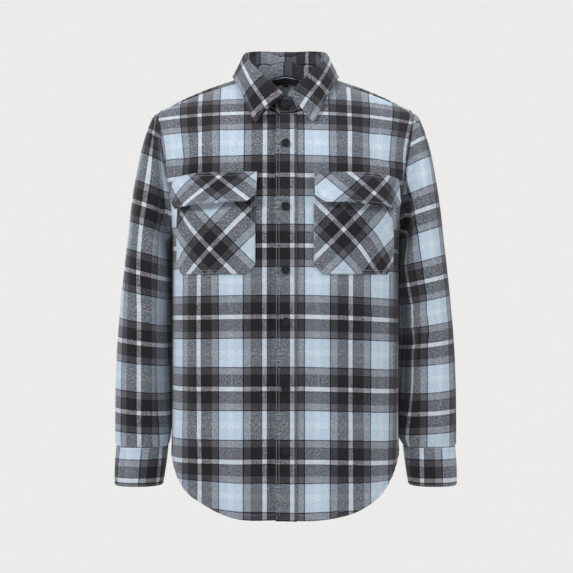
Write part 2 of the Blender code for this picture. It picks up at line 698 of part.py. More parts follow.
def pocket(side):
    name = "left" if side > 0 else "right"
    x, share = patch_x(*POCKET_EDGES[name])
    lift = np.where((share == 0) | (share == 1), POCKET_CHAMFER, 0.0)
    rise = line(0, 1, POCKET_ROWS)[None]
    z = (POCKET_BOTTOM + lift) * (1 - rise) + POCKET_TOP * rise
    grid = moved_out(front_at, x + 0 * rise, z, np.full(z.shape, LAY_GAP))[0]
    laid(f"pocket_{name}", grid if side > 0 else mirrored(grid), WALL)

    x, share = patch_x(FLAP_IN, FLAP_OUT)
    lift = np.where((share == 0) | (share == 1), FLAP_CHAMFER, 0.0)
    drop = np.array(FLAP_SHARES)[None]
    foot = FLAP_BOTTOM + lift - FLAP_OUT_DROP * fallen(share, FLAP_FALL_FOOT)
    head = FLAP_TOP - FLAP_OUT_DROP * fallen(share, FLAP_FALL_TOP)
    z = head * (1 - drop) + foot * drop
    stack = LAY_GAP + (WALL + LAY_GAP) * smooth(drop, [0, FLAP_STEP, 1], [0, 1, 1])
    stand = (FLAP_LIFT - WALL - 2 * LAY_GAP) * drop ** 2 * (1 - FLAP_HUG * share ** 6)
    grid = moved_out(front_at, x + 0 * drop, z, stack + stand)[0]
    laid(f"pocket_flap_{name}", grid if side > 0 else mirrored(grid), WALL)


def collar_pieces():
    stand = stand_grid()[::-1]
    leaf = leaf_grid()[::-1]
    grids = {"collar_stand": (stand, False), "collar_leaf": (leaf, False)}
    for name, (grid, closed) in grids.items():
        walled(name, grid, own_normals(grid, closed), closed, WALL)


def cuffs():
    grid = cuff_grid()[::-1]
    for name, placed in (("cuff_left", grid), ("cuff_right", mirrored(grid))):
        walled(name, placed, own_normals(placed, False), False, WALL)


def sleeve_at(angle, rise):
    """Points of the sleeve by angle and by table row, counted upwards as negative numbers."""
    rows = range(len(SLEEVE))
    angle, rise = np.broadcast_arrays(np.asarray(angle, float), np.asarray(rise, float))
    found = np.empty((*angle.shape, 3))
    for place in np.ndindex(angle.shape):
        row = [float(smooth(-rise[place], rows, column(SLEEVE, k))) for k in range(6)]
        found[place] = tube_point(row, angle[place])
    return found


def slit_plackets():
    """A strip sewn over each sleeve's slit, from the cuff up the back of the sleeve."""
    middle = CUFF_START + CUFF_OVERLAP / 2
    across = np.array([-1.0, 0.0, 1.0])[:, None]
    last = len(SLEEVE) - 1
    rise = line(-last + SLIT_FOOT, -last + SLIT_ROWS, SLIT_COUNT)[None]
    half = np.degrees(SLIT_WIDTH / 2 / smooth(-rise, range(len(SLEEVE)), column(SLEEVE, 5)))
    narrow = np.where(rise == rise.max(), SLIT_POINT, 1.0)
    angle = middle + across * half * narrow
    grid = moved_out(sleeve_at, angle, rise + 0 * across, np.full(angle.shape, LAY_GAP))[0]
    laid("slit_placket_left", grid, WALL)
    laid("slit_placket_right", mirrored(grid), WALL)


def nape_at(x, over):
    return upper(share_of(x / reach(over)), over)


def labels():
    """The bare neck label inside the yoke, below the collar's seam, and the bare tab under it."""
    top = float(neckline([180.0])[0][1]) + LABEL_DROP
    turn = np.degrees(1 / (ridge_z(0.0) - ARMPIT_Z))
    label_end = top + LABEL_HEIGHT * turn
    tab_top = label_end + TAB_DROP
    pieces = (("neck_label", LABEL_WIDTH, top, label_end, LABEL_COLUMNS),
              ("neck_tab", TAB_WIDTH, tab_top, tab_top + TAB_HEIGHT * turn, TAB_COLUMNS))
    for name, width, start, end, columns in pieces:
        x = line(-width / 2, width / 2, columns)[:, None]
        over = line(start, end, LABEL_ROWS)[None]
        x, over = np.broadcast_arrays(x, over)
        grid = moved_out(nape_at, x, over, np.full(x.shape, -WALL - 2 * LAY_GAP))[0]
        laid(name, grid[::-1], TRIM_WALL, "label_black")


def button(name, point, normal):
    """A turned button whose flat back lies at a point, facing along a direction."""
    profile = [(r * BUTTON_RADIUS, 0.0, h * BUTTON_HEIGHT) for r, h in BUTTON_PROFILE]
    mesh = bpy.data.meshes.new(name)
    mesh.from_pydata(profile, [(i, i + 1) for i in range(len(profile) - 1)], [])
    piece = shown(name, mesh, "button_black")
    screw = piece.modifiers.new("turn", "SCREW")
    screw.steps = screw.render_steps = BUTTON_SIDES
    screw.use_merge_vertices = True
    screw.merge_threshold = 0.0001
    screw.use_normal_calculate = True
    piece.location = point
    piece.rotation_mode = "QUATERNION"
    piece.rotation_quaternion = Vector(normal).to_track_quat("Z", "Y")


def buttons():
    rest = LAY_GAP + WALL + SEAM_GAP
    for count, z in enumerate(BUTTON_Z, 1):
        button(f"button_front_{count}", *moved_out(front_at, np.array(0.0), np.array(z), rest))
    height = COLLAR[0][1]
    normal = np.array([0.0, -height, STAND_LEAN]) / math.hypot(height, STAND_LEAN)
    point = stand_point(np.array([0.0]), COLLAR_BUTTON_SHARE, 1.0)[0]
    button("button_collar", point + normal * SEAM_GAP, normal)
    middle, turn = CUFF[1], CUFF_START + CUFF_OVERLAP - CUFF_BUTTON_SET
    point = tube_point(middle, turn, CUFF_STEP)
    along = tube_point(middle, turn + 1, CUFF_STEP) - tube_point(middle, turn - 1, CUFF_STEP)
    normal = np.cross(along, UP) / np.linalg.norm(np.cross(along, UP))
    point = point + normal * LAY_GAP
    button("button_cuff_left", point, normal)
    flip = np.array([-1.0, 1.0, 1.0])
    button("button_cuff_right", point * flip, normal * flip)


def build():
    for item in list(bpy.data.objects):
        bpy.data.objects.remove(item)
    home = bpy.data.collections.new("shirt_jacket")
    bpy.context.scene.collection.children.link(home)
    body_pieces()
    placket()
    for side in (1, -1):
        pocket(side)
    collar_pieces()
    cuffs()
    slit_plackets()
    labels()
    buttons()


build()
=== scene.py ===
"""Shirt jacket: the looks of a buttoned plaid flannel overshirt, laid on the frame of its cut pieces.

Metres, +Z up. The front faces -Y and the wearer's left side is +X, as in the frame.
"""
import functools
import math

import bmesh
import bpy
import numpy as np
from bpy.props import FloatProperty, FloatVectorProperty, PointerProperty
from bpy.types import Operator, Panel, PropertyGroup
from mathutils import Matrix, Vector


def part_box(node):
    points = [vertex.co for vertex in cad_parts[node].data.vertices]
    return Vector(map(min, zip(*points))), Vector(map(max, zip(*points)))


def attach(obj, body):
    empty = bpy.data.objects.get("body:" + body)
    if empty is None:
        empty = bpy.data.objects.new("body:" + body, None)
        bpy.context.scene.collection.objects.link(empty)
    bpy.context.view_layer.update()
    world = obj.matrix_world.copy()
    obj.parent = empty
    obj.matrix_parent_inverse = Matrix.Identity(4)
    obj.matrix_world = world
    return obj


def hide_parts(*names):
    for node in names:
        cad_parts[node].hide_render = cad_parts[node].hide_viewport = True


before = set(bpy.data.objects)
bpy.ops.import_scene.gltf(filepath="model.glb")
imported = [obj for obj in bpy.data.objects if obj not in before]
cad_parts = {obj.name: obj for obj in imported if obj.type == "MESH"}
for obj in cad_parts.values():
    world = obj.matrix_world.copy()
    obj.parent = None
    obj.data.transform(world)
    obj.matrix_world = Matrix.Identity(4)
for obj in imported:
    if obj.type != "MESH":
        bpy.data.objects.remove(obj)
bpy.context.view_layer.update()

bl_info = {
    "name": "Shirt jacket looks",
    "version": (1, 0, 0),
    "blender": (4, 5, 0),
    "location": "3D View > Sidebar > Shirt jacket",
    "description": "Builds the cloth, stitches, buttons and stage of a plaid flannel overshirt",
    "category": "Add Mesh",
}

# ---- driving dimensions ----
WALL = 0.0016  # thickness of the brushed flannel
TRIM_WALL = 0.0010  # thickness of the neck label and its tab
SEAM_GAP = 0.0005  # space left between two pieces along a seam
LAY_GAP = 0.0007  # space under a piece that lies on another one

ARMPIT_Z = -0.268  # level of the underarm point
HALF_WIDTH = 0.1945  # body, centre to side seam
SHOULDER_REACH = 0.0415  # how much wider the upper body is at the top of the shoulder
CHEST_FRONT = 0.125  # depth of the chest in front of the side seam
CHEST_BACK = 0.132  # depth of the back behind the side seam
RING_POWER = 2.8  # squareness of the body's section: 2 is an ellipse

SHOULDER_TOP_Z = 0.0184  # height of the shoulder line carried on to the centre
SHOULDER_SLOPE = 0.108  # fall of the shoulder line beside the neck
SHOULDER_ROUND = 1.0  # how quickly that fall grows towards the tip, per metre
NAPE_RISE = 0.0126  # extra height at the back of the neck
NAPE_SET = 0.040  # how far behind the side seam the nape lies
NAPE_SPREAD = 0.055  # half width over which the nape fades into the shoulders
RIDGE_SET = 0.005  # how far behind the side seam the shoulder line runs

ARMHOLE_FRONT = 0.52  # depth of the armhole's front and back edge, as shares of the chest's depth
ARMHOLE_BACK = 0.54
ARMHOLE_CORNER = 13.0  # higher is a tighter turn at the underarm
ARMHOLE_BLEND = 45.0  # degrees over the shoulder where the front's depth passes into the back's

NECK_HALF_WIDTH = 0.0735
NECK_FRONT_Y = -0.081
NECK_BACK_Y = 0.070
NECK_SPLIT = 73.0  # degrees round the neckline, from the front, to the yoke's front seam
YOKE_FRONT_TIP = -9.0  # degrees over the shoulder where that seam meets the armhole
YOKE_BACK_Z = -0.105  # level of the yoke's back seam

HEM_Z = -0.739  # level of the hem at centre front and centre back
PLACKET_LEFT = -0.0165  # free edge and seam of the button placket, across from the centre
PLACKET_RIGHT = 0.0184
FRONT_EDGE = 0.0168  # where the two fronts meet below the placket

TORSO = (  # columns: z, half width, front depth, back depth
    (-0.740, 0.1945, 0.118, 0.124),
    (-0.640, 0.1945, 0.119, 0.123),
    (-0.520, 0.1945, 0.120, 0.122),
    (-0.400, 0.1945, 0.123, 0.126),
    (ARMPIT_Z, HALF_WIDTH, CHEST_FRONT, CHEST_BACK),
)
HEM = (  # columns: share of the way from centre to side seam, rise of the hem
    (0.00, 0.0000),
    (0.26, 0.0010),
    (0.40, 0.0090),
    (0.52, 0.0230),
    (0.64, 0.0420),
    (0.73, 0.0640),
    (0.82, 0.0880),
    (1.00, 0.1150),
)
SLEEVE = (  # columns: outer x, outer z, inner x, inner z, middle y, half depth
    (0.2290, -0.0640, 0.1968, -0.2700, 0.002, 0.0690),
    (0.2385, -0.0880, 0.1972, -0.2725, 0.002, 0.0740),
    (0.2490, -0.1250, 0.1975, -0.2755, 0.001, 0.0780),
    (0.2580, -0.1730, 0.1976, -0.2800, 0.000, 0.0800),
    (0.2650, -0.2200, 0.1977, -0.2880, -0.001, 0.0800),
    (0.2710, -0.2750, 0.1978, -0.3080, -0.003, 0.0785),
    (0.2765, -0.3250, 0.1978, -0.3450, -0.006, 0.0755),
    (0.2820, -0.3800, 0.1978, -0.3920, -0.009, 0.0715),
    (0.2875, -0.4450, 0.1978, -0.4500, -0.012, 0.0660),
    (0.2905, -0.5050, 0.1978, -0.5080, -0.014, 0.0590),
    (0.2915, -0.5600, 0.1978, -0.5610, -0.016, 0.0520),
    (0.2918, -0.6020, 0.1982, -0.6020, -0.017, 0.0450),
    (0.2900, -0.6270, 0.2010, -0.6270, -0.018, 0.0370),
)
CUFF = (  # the same columns, top and bottom of the cuff
    (0.2900, -0.6275, 0.2010, -0.6275, -0.018, 0.0370),
    (0.2914, -0.6600, 0.2055, -0.6600, -0.019, 0.0365),
    (0.2925, -0.6930, 0.2100, -0.6930, -0.020, 0.0355),
)
SLEEVE_POWER = 2.3  # squareness of the sleeve's section
CUFF_EVEN = (90.0, 300.0)  # degrees along the cuff between which it runs on its middle line
CUFF_START = 222.0  # degrees round the wrist, from the inner side over the front
CUFF_OVERLAP = 36.0  # degrees by which the cuff's ends overlap
CUFF_STEP = 0.0011  # how far each end lies off the cuff's middle line

COLLAR = (  # columns: degrees from the front, stand height, height of the fold, leaf's swell
    (0.0, 0.029, -0.0360, 0.0030),
    (30.0, 0.031, -0.0020, 0.0030),
    (60.0, 0.029, 0.0270, 0.0020),
    (90.0, 0.027, 0.0455, 0.0000),
    (135.0, 0.025, 0.0590, 0.0020),
    (180.0, 0.025, 0.0620, 0.0040),
)
STAND_BASE = 0.0010  # height of the stand's lower edge over the neckline
STAND_LEAN = 0.004  # how far the stand leans in towards the neck
STAND_STEP = 0.0013  # how far each end of the stand lies off its middle line
STAND_EVEN = 45.0  # degrees from the front where the stand has come to that line
LEAF_START = 3.5  # degrees from the front where the leaf begins
LEAF_CLEAR = 0.0042  # height of the leaf's edge over the shoulder
FOLD_RADIUS = 0.0026
LEAF_SHARES = (0.3, 0.65)  # places of the leaf's rows between its fold and its edge
LEAF_EDGE = (  # columns: place along the leaf, 0 front to 1 back; x on the wearer's left and
    # right; degrees over the shoulder
    (0.00, 0.0455, 0.0510, -50.5),
    (0.22, 0.0665, 0.0690, -36.5),
    (0.42, 0.0865, 0.0865, -16.0),
    (0.55, 0.0900, 0.0900, -2.0),
    (0.70, 0.0780, 0.0780, 12.0),
    (0.85, 0.0480, 0.0480, 20.0),
    (1.00, 0.0000, 0.0000, 23.0),
)
LEAF_ROW_PLACES = (0.0, 0.06, 0.12, 0.18, 0.24, 0.47, 0.73, 1.0)  # places of its rows, joint first
COLLAR_TIP = 0.0075  # radius of the collar's rounded points

POCKET_EDGES = {"left": (0.0462, 0.1772), "right": (0.0500, 0.1810)}  # across from the centre
POCKET_TOP, POCKET_BOTTOM = -0.1900, -0.3345
POCKET_CHAMFER = 0.0150
FLAP_IN, FLAP_OUT = 0.0475, 0.1865
FLAP_TOP, FLAP_BOTTOM = -0.1670, -0.2180
FLAP_OUT_DROP = 0.0080  # how much lower the flap is at its outer end
FLAP_FALL_TOP, FLAP_FALL_FOOT = 0.6, 0.3  # shares along it where its two edges begin to fall
FLAP_CHAMFER = 0.0110
FLAP_STEP = 0.3  # share down the flap by which it lies clear over the pocket
FLAP_WAVES = {  # columns: place along the flap, how far its foot stands off there
    "left": ((0.0, 0.0120), (0.18, 0.0105), (0.42, 0.0115), (0.62, 0.0135), (0.85, 0.0110),
             (1.0, 0.0070)),
    "right": ((0.0, 0.0165), (0.12, 0.0140), (0.38, 0.0095), (0.60, 0.0120), (0.85, 0.0090),
              (1.0, 0.0050)),
}
FLAP_CURL = 1.6  # how late down the flap its foot's lift comes

BUTTON_RADIUS = 0.0073
BUTTON_HEIGHT = 0.0026
BUTTON_TURN = (  # columns: share of the radius, share of the height, from the dish to the back
    (0.58, 0.60), (0.64, 0.62), (0.69, 0.74), (0.74, 0.92), (0.79, 0.99), (0.86, 1.00),
    (0.93, 0.95), (0.98, 0.82), (1.00, 0.64), (0.99, 0.40), (0.95, 0.15), (0.88, 0.00),
)
BUTTON_ROUND = 40
HOLE_SET, HOLE_RADIUS, HOLE_SIDES = 0.0013, 0.00062, 12
BUTTON_SHARP = 50  # degrees of bend from which its edges look sharp
THREAD_SPREAD = 0.00018  # half the distance between the two threads of a pair of holes
THREAD_RISE = 0.0001  # height of those threads over the dish
BUTTON_Z = (-0.1194, -0.2245, -0.3276, -0.4128, -0.5217, -0.6243)
CUFF_BUTTON_SET = 14.0  # degrees from the cuff's top end to its button

SLIT_WIDTH = 0.022
SLIT_ROWS = 3.0  # rows of the sleeve table that the slit's strip runs up
SLIT_FOOT = 0.02  # rows between its foot and the cuff's seam
SLIT_POINT = 0.4  # width of its pointed end, as a share
SLIT_SHARES = (0, 5 / 6, 1)  # shares up its strip between which it runs straight, then narrows
LABEL_WIDTH, LABEL_HEIGHT = 0.050, 0.032  # heights as turned about the level of the underarm
TAB_WIDTH, TAB_HEIGHT = 0.010, 0.008
LABEL_DROP = 0.15  # degrees over the shoulder from the neckline down to the label
TAB_DROP = 0.3  # and from the label down to its tab

# Distances of the rows of topstitching from a piece's edge.
HEM_FOLD = 0.0090  # height of the turned hem
PLACKET_STITCH, PLACKET_EDGE_STITCH = 0.0058, 0.0015
FLAP_STITCH, FLAP_HEAD_STITCH = 0.0045, 0.0055
POCKET_STITCH = CUFF_STITCH = ARMHOLE_STITCH = TIP_STITCH = 0.0060
EDGE_STITCH = 0.0016  # second row of the pockets and flaps
NARROW_STITCH = 0.0030  # stand, cuff head and ends, and the fronts' shoulder seam
SLIT_STITCH = 0.0025
YOKE_STITCH = 0.0022
GROOVES = {  # columns: distance from the edge, width and depth of the groove that a row draws
    "hem": (HEM_FOLD, 0.0015, 0.0005),
    "placket": (PLACKET_STITCH, 0.0014, 0.0005),
    "pocket": (0.0050, 0.0015, 0.0009),
    "flap": (FLAP_STITCH, 0.0014, 0.0009),
    "flap_head": (FLAP_HEAD_STITCH, 0.0014, 0.0008),
    "cuff": (CUFF_STITCH, 0.0014, 0.0004),
    "narrow": (NARROW_STITCH, 0.0014, 0.0004),
    "collar": (TIP_STITCH, 0.0016, 0.0006),
    "slit": (SLIT_STITCH, 0.0012, 0.0004),
    "tape": (0.0015, 0.0008, -0.0002),
    "cuff_turn": (0.0, 0.0018, 0.0011),
    "seam": (0.0, 0.0030, 0.0011),
}

UP = np.array([0.0, 0.0, 1.0])
FLIP = np.array([-1.0, 1.0, 1.0])  # turns a point to the wearer's other side
TINY = 1e-12


# ---- numbers ----
def smooth(at, places, values, level=True):
    """Values at the places `at` on a smooth curve through a table's rows, level at its peaks."""
    at, places, values = (np.asarray(part, float) for part in (at, places, values))
    more = (1,) * (values.ndim - 1)
    steps = np.diff(values, axis=0) / np.diff(places).reshape(-1, *more)
    slopes = np.concatenate([steps[:1], (steps[1:] + steps[:-1]) / 2, steps[-1:]])
    if level:
        slopes[1:-1][steps[1:] * steps[:-1] <= 0] = 0.0
    row = np.clip(np.searchsorted(places, at, side="right") - 1, 0, len(places) - 2)
    shape = row.shape + more
    wide = np.reshape(places[row + 1] - places[row], shape)
    t = np.clip(np.reshape(at - places[row], shape) / wide, 0, 1)
    start = (1 + 2 * t) * (1 - t) ** 2 * values[row] + t * (1 - t) ** 2 * wide * slopes[row]
    end = t * t * (3 - 2 * t) * values[row + 1] - t * t * (1 - t) * wide * slopes[row + 1]
    return start + end


def read(table, at, column=1):
    """Values of a table's column on a smooth curve, at places `at` down its first column."""
    table = np.asarray(table)
    return smooth(at, table[:, 0], table[:, column])


def rows_at(table, at):
    """Rows of a table at fractional places down it."""
    return smooth(at, range(len(table)), table)


def eased(value, low, high):
    """0 below low, 1 above high, smooth between."""
    t = np.clip((value - low) / (high - low), 0, 1)
    return t * t * (3 - 2 * t)


def joined(*parts):
    """Points or places from their parts."""
    return np.stack(parts, -1)


def unit(arrows):
    """The same directions, one metre long."""
    return arrows / np.maximum(np.linalg.norm(arrows, axis=-1), TINY)[..., None]


def line(start, end, count):
    return np.linspace(start, end, count + 1)


def run_along(grid, axis):
    """Distance along the cloth from a grid's first row or column, or along a line of points."""
    steps = np.linalg.norm(np.diff(grid, axis=axis), axis=-1)
    zero = np.zeros_like(np.take(steps, [0], axis=axis))
    return np.concatenate([zero, np.cumsum(steps, axis=axis)], axis=axis)


def evenly(points, count):
    """Shares at which a fine polyline is split into `count` equal stretches."""
    along = run_along(points, 0)
    return np.interp(line(0, along[-1], count), along, np.linspace(0, 1, len(points)))


def nearest(*distances):
    return functools.reduce(np.minimum, distances)


def ring_table():
    """A quarter of the body's section, of unit half width and depth, by share of its length."""
    angle = np.radians(np.linspace(0, 90, 361))
    radius = (np.sin(angle) ** RING_POWER + np.cos(angle) ** RING_POWER) ** (-1 / RING_POWER)
    across, forward = radius * np.sin(angle), radius * np.cos(angle)
    steps = np.hypot(np.diff(across) * HALF_WIDTH, np.diff(forward) * CHEST_FRONT)
    along = np.concatenate([[0], np.cumsum(steps)])
    return along / along[-1], across, forward


RING_SHARE, RING_ACROSS, RING_FORWARD = ring_table()


# ---- the body's surface ----
# A place on it is a share q of the way from the centre (0) to the side seam (1 or -1), and either a
# level z below the underarm or an angle over the shoulder: -90 is the chest, 0 the shoulder line
# and 90 the back.
def across_of(q):
    return np.sign(q) * np.interp(np.abs(q), RING_SHARE, RING_ACROSS)


def forward_of(q):
    return np.interp(np.abs(q), RING_SHARE, RING_FORWARD)


def share_of(across):
    return np.sign(across) * np.interp(np.abs(across), RING_ACROSS, RING_SHARE)


def ridge_z(x):
    nape = NAPE_RISE * np.exp(-((x / NAPE_SPREAD) ** 2))
    return SHOULDER_TOP_Z - SHOULDER_SLOPE * np.abs(x) - SHOULDER_ROUND * x * x + nape


def ridge_y(x):
    return RIDGE_SET + NAPE_SET * np.exp(-((x / NAPE_SPREAD) ** 2))


def reach(over):
    """Half width of the upper body at an angle over the shoulder."""
    return HALF_WIDTH + SHOULDER_REACH * np.cos(np.radians(over))


def upper(q, over):
    """Points of the upper body."""
    q, over = np.broadcast_arrays(np.asarray(q, float), np.asarray(over, float))
    x = reach(over) * across_of(q)
    run = np.abs(np.sin(np.radians(over)))
    depth = np.where(over < 0, -CHEST_FRONT, CHEST_BACK) * forward_of(q)
    y = ridge_y(x) * (1 - run) + depth * run
    z = ARMPIT_Z + (ridge_z(x) - ARMPIT_Z) * np.cos(np.radians(over))
    return joined(x, y, z)


def lower(q, z, behind):
    """Points of the body below the underarm."""
    q, z = np.broadcast_arrays(np.asarray(q, float), np.asarray(z, float))
    depth = read(TORSO, z, 3 if behind else 2)
    y = (1 if behind else -1) * depth * forward_of(q)
    return joined(read(TORSO, z) * across_of(q), y, z)


def over_at(x, z):
    """Angle over the shoulder at which the upper body stands at x and z."""
    return np.degrees(np.arccos(np.clip((z - ARMPIT_Z) / (ridge_z(x) - ARMPIT_Z), 0, 1)))


def upper_share(x, over):
    """Share of the way to the side seam at x, at an angle over the shoulder."""
    return share_of(x / reach(over))


def front_at(x, z):
    """Points of the front at x and z."""
    x, z = np.broadcast_arrays(np.asarray(x, float), np.asarray(z, float))
    over = -over_at(x, np.maximum(z, ARMPIT_Z))
    high = upper(upper_share(x, over), over)
    low = lower(share_of(x / HALF_WIDTH), np.minimum(z, ARMPIT_Z), False)
    return np.where((z > ARMPIT_Z)[..., None], high, low)


def neckline(turn):
    """Place (q, over) of the neckline, by degrees from the front."""
    turn = np.radians(np.asarray(turn, float))
    x = NECK_HALF_WIDTH * np.sin(turn)
    y = (NECK_FRONT_Y + NECK_BACK_Y) / 2 + (NECK_FRONT_Y - NECK_BACK_Y) / 2 * np.cos(turn)
    side = np.sign(y - ridge_y(x))
    over = np.full_like(x, 20.0)
    for _ in range(12):
        q = share_of(x / reach(over))
        depth = side * np.where(side < 0, CHEST_FRONT, CHEST_BACK) * forward_of(q)
        over = np.degrees(np.arcsin(np.clip((y - ridge_y(x)) / (depth - ridge_y(x)), 0, 1)))
    return joined(q, side * over)


def armhole(over):
    """Place (q, over) of the armhole's edge on the wearer's left, by angle over the shoulder."""
    over = np.asarray(over, float)
    edge = np.where(over < 0, ARMHOLE_FRONT, ARMHOLE_BACK)
    middle = (ARMHOLE_FRONT + ARMHOLE_BACK) / 2
    edge = middle + (edge - middle) * np.minimum(1, np.abs(over) / ARMHOLE_BLEND)
    turn = np.sqrt(np.clip(1 - (np.abs(over) / 90) ** ARMHOLE_CORNER, 0, 1))
    return joined(np.interp(-edge * turn, -RING_FORWARD, RING_SHARE), over)


def armhole_run(start, end, count):
    """The armhole's places between two angles, evenly spaced along the edge."""
    fine = armhole(line(start, end, FINE))
    shares = evenly(upper(fine[:, 0], fine[:, 1]), count)
    return armhole(start + (end - start) * shares)


def coons(bottom, top, left, right):
    """A patch of places between four edges, first index along the bottom."""
    u = np.linspace(0, 1, len(bottom))[:, None, None]
    v = np.linspace(0, 1, len(left))[None, :, None]
    rails = (1 - v) * bottom[:, None] + v * top[:, None] + (1 - u) * left[None] + u * right[None]
    near = (1 - v) * ((1 - u) * bottom[0] + u * bottom[-1])
    return rails - near - v * ((1 - u) * top[0] + u * top[-1])


# ---- the body's grids ----
NECK_COLUMNS, SHOULDER_COLUMNS = 32, 42  # across a front, below the neckline and the shoulder seam
BODY_ROWS, CHEST_ROWS = 124, 76  # along the body, below and above the underarm
BACK_COLUMNS, TIP_COLUMNS = 68, 26  # across half the back, and over the shoulder's tip
NECK_SHARE = 0.34  # share of the front's width that hangs from the neckline
SLEEVE_ROWS = 156
CUFF_COLUMNS, CUFF_ROWS = 130, 22
STAND_COLUMNS, STAND_ROWS = 180, 12
LEAF_COLUMNS, LEAF_ROWS = 84, 34
PLACKET_COLUMNS, PLACKET_ROWS = 14, 230
POCKET_COLUMNS, POCKET_ROWS = 60, 44
FLAP_ROWS = 26
SLIT_COLUMNS, SLIT_COUNT = 10, 44
LABEL_COLUMNS, TAB_COLUMNS, LABEL_ROWS = 30, 10, 16
SPLIT_DOT = 0.2  # seams tighter than this keep each piece's own direction
MITRE = 0.7  # least cosine that a mitre stretches its wall for
PLACE_STEP = 0.01  # small steps in place and in metres that give a direction
MOVE_STEP = 0.002
FINE = 2000  # steps of the line that an armhole is evenly split on
SETTLE = 20  # rounds that bring an angle to a level


def hem_z(q):
    return HEM_Z + read(HEM, np.abs(q))


@functools.lru_cache(maxsize=None)
def yoke_back_end():
    """Angle at which the level back seam of the yoke meets the armhole."""
    over = 40.0
    for _ in range(SETTLE):
        over = float(over_at(upper(*armhole(over))[0], YOKE_BACK_Z))
    return over


def level_over(q, z):
    """Angles at which a level line crosses the back at shares q."""
    over = np.full_like(q, 45.0)
    for _ in range(SETTLE):
        over = over_at(reach(over) * across_of(q), z)
    return over


def hung(q, patch, behind):
    """Points of a panel: its patch of the upper body, and the cloth from there down to the hem."""
    level = line(0, 1, BODY_ROWS)[None, :-1]
    q = q[:, None]
    low = lower(q, hem_z(q) * (1 - level) + ARMPIT_Z * level, behind)
    return np.concatenate([low, upper(patch[..., 0], patch[..., 1])], 1)


def front_grid(edge):
    """Points of one front on the wearer's left, from the edge x at the centre to the side."""
    start_q = share_of(edge / HALF_WIDTH)
    neck_turn = math.degrees(math.asin(edge / NECK_HALF_WIDTH))
    neck = neckline(line(neck_turn, NECK_SPLIT, NECK_COLUMNS))
    seam_line = line(neck[-1], armhole(YOKE_FRONT_TIP), SHOULDER_COLUMNS)
    top = np.concatenate([neck, seam_line[1:]])
    columns = NECK_COLUMNS + SHOULDER_COLUMNS
    share = np.interp(line(0, 1, columns), [0, NECK_COLUMNS / columns, 1], [0, NECK_SHARE, 1])
    q = start_q + (1 - start_q) * share
    bottom = joined(q, np.full_like(q, -90.0))
    over = line(-90.0, neck[0][1], CHEST_ROWS)
    left = joined(upper_share(edge, over), over)
    right = armhole_run(-90.0, YOKE_FRONT_TIP, CHEST_ROWS)
    return hung(q, coons(bottom, top, left, right), False)


def yoke_seam(start, end):
    """The yoke's back seam between two shares of the way to the side."""
    place = line(start, end, BACK_COLUMNS)
    return joined(place, level_over(place, YOKE_BACK_Z))


def back_grid():
    """Points of half the back, from the centre to the wearer's left side."""
    q = line(0, 1, BACK_COLUMNS)
    bottom = joined(q, np.full_like(q, 90.0))
    end = yoke_back_end()
    top = yoke_seam(0.0, float(armhole(end)[0]))
    over = line(90.0, top[0][1], CHEST_ROWS)
    left = joined(np.zeros_like(over), over)
    return hung(q, coons(bottom, top, left, armhole_run(90.0, end, CHEST_ROWS)), True)


def yoke_grid():
    """Points of half the yoke, from the neck outwards, and from the front seam to the centre back."""
    end = yoke_back_end()
    tip = armhole_run(YOKE_FRONT_TIP, end, TIP_COLUMNS)
    outer = np.concatenate([tip, yoke_seam(float(armhole(end)[0]), 0.0)[1:]])
    neck = neckline(NECK_SPLIT + (180 - NECK_SPLIT) * np.linspace(0, 1, len(outer)))
    first = line(neck[0], outer[0], SHOULDER_COLUMNS)
    last = line(neck[-1], outer[-1], SHOULDER_COLUMNS)
    place = coons(first, last, neck, outer)
    return upper(place[..., 0], place[..., 1])


# ---- sleeves and cuffs ----
SLEEVE_CAP = 0.06  # share of the sleeve's rings between the armhole and its table


def tube_point(row, angle, offset=0.0):
    """Points of a sleeve's section: 0 is its inner side, 90 its front and 180 its outer side."""
    row = np.asarray(row, float)
    outer, inner = row[..., [0, 4, 1]], row[..., [2, 4, 3]]
    angle = np.radians(np.asarray(angle, float))
    offset = np.asarray(offset, float)[..., None]
    side, depth = (np.sign(part) * np.abs(part) ** (2 / SLEEVE_POWER)
                   for part in (-np.cos(angle), np.sin(angle)))
    across = (outer - inner) / 2
    across = across * (1 + offset / np.linalg.norm(across, axis=-1, keepdims=True))
    forward = (row[..., 5:] + offset) * np.array([0.0, -1.0, 0.0])
    return (outer + inner) / 2 + side[..., None] * across + depth[..., None] * forward


def armhole_ring():
    """The armhole's points, from the underarm up the front, over the yoke and down the back."""
    end = yoke_back_end()
    front = armhole_run(-90.0, YOKE_FRONT_TIP, CHEST_ROWS)
    tip = armhole_run(YOKE_FRONT_TIP, end, TIP_COLUMNS)
    back = armhole_run(90.0, end, CHEST_ROWS)[::-1]
    place = np.concatenate([front, tip[1:], back[1:-1]])
    return upper(place[:, 0], place[:, 1])


def sleeve_grid():
    """Points of the sleeve on the wearer's left: rings from the armhole to the cuff."""
    first = armhole_ring()
    along = run_along(np.concatenate([first, first[:1]]), 0)
    tip = along[np.argmax(first[:, 2])]
    angle = np.interp(along[:-1], [0, tip, along[-1]], [0, 180, 360])[:, None]
    places = np.interp(line(0, 1, SLEEVE_ROWS), [0, SLEEVE_CAP, 1], [-1, 0, len(SLEEVE) - 1])
    rings = tube_point(rows_at(SLEEVE, np.maximum(places, 0))[None], angle)
    first = first[:, None]
    cap = first + (tube_point(SLEEVE[0], angle) - first) * (places + 1)[:, None]
    return np.where((places < 0)[:, None], cap, rings)


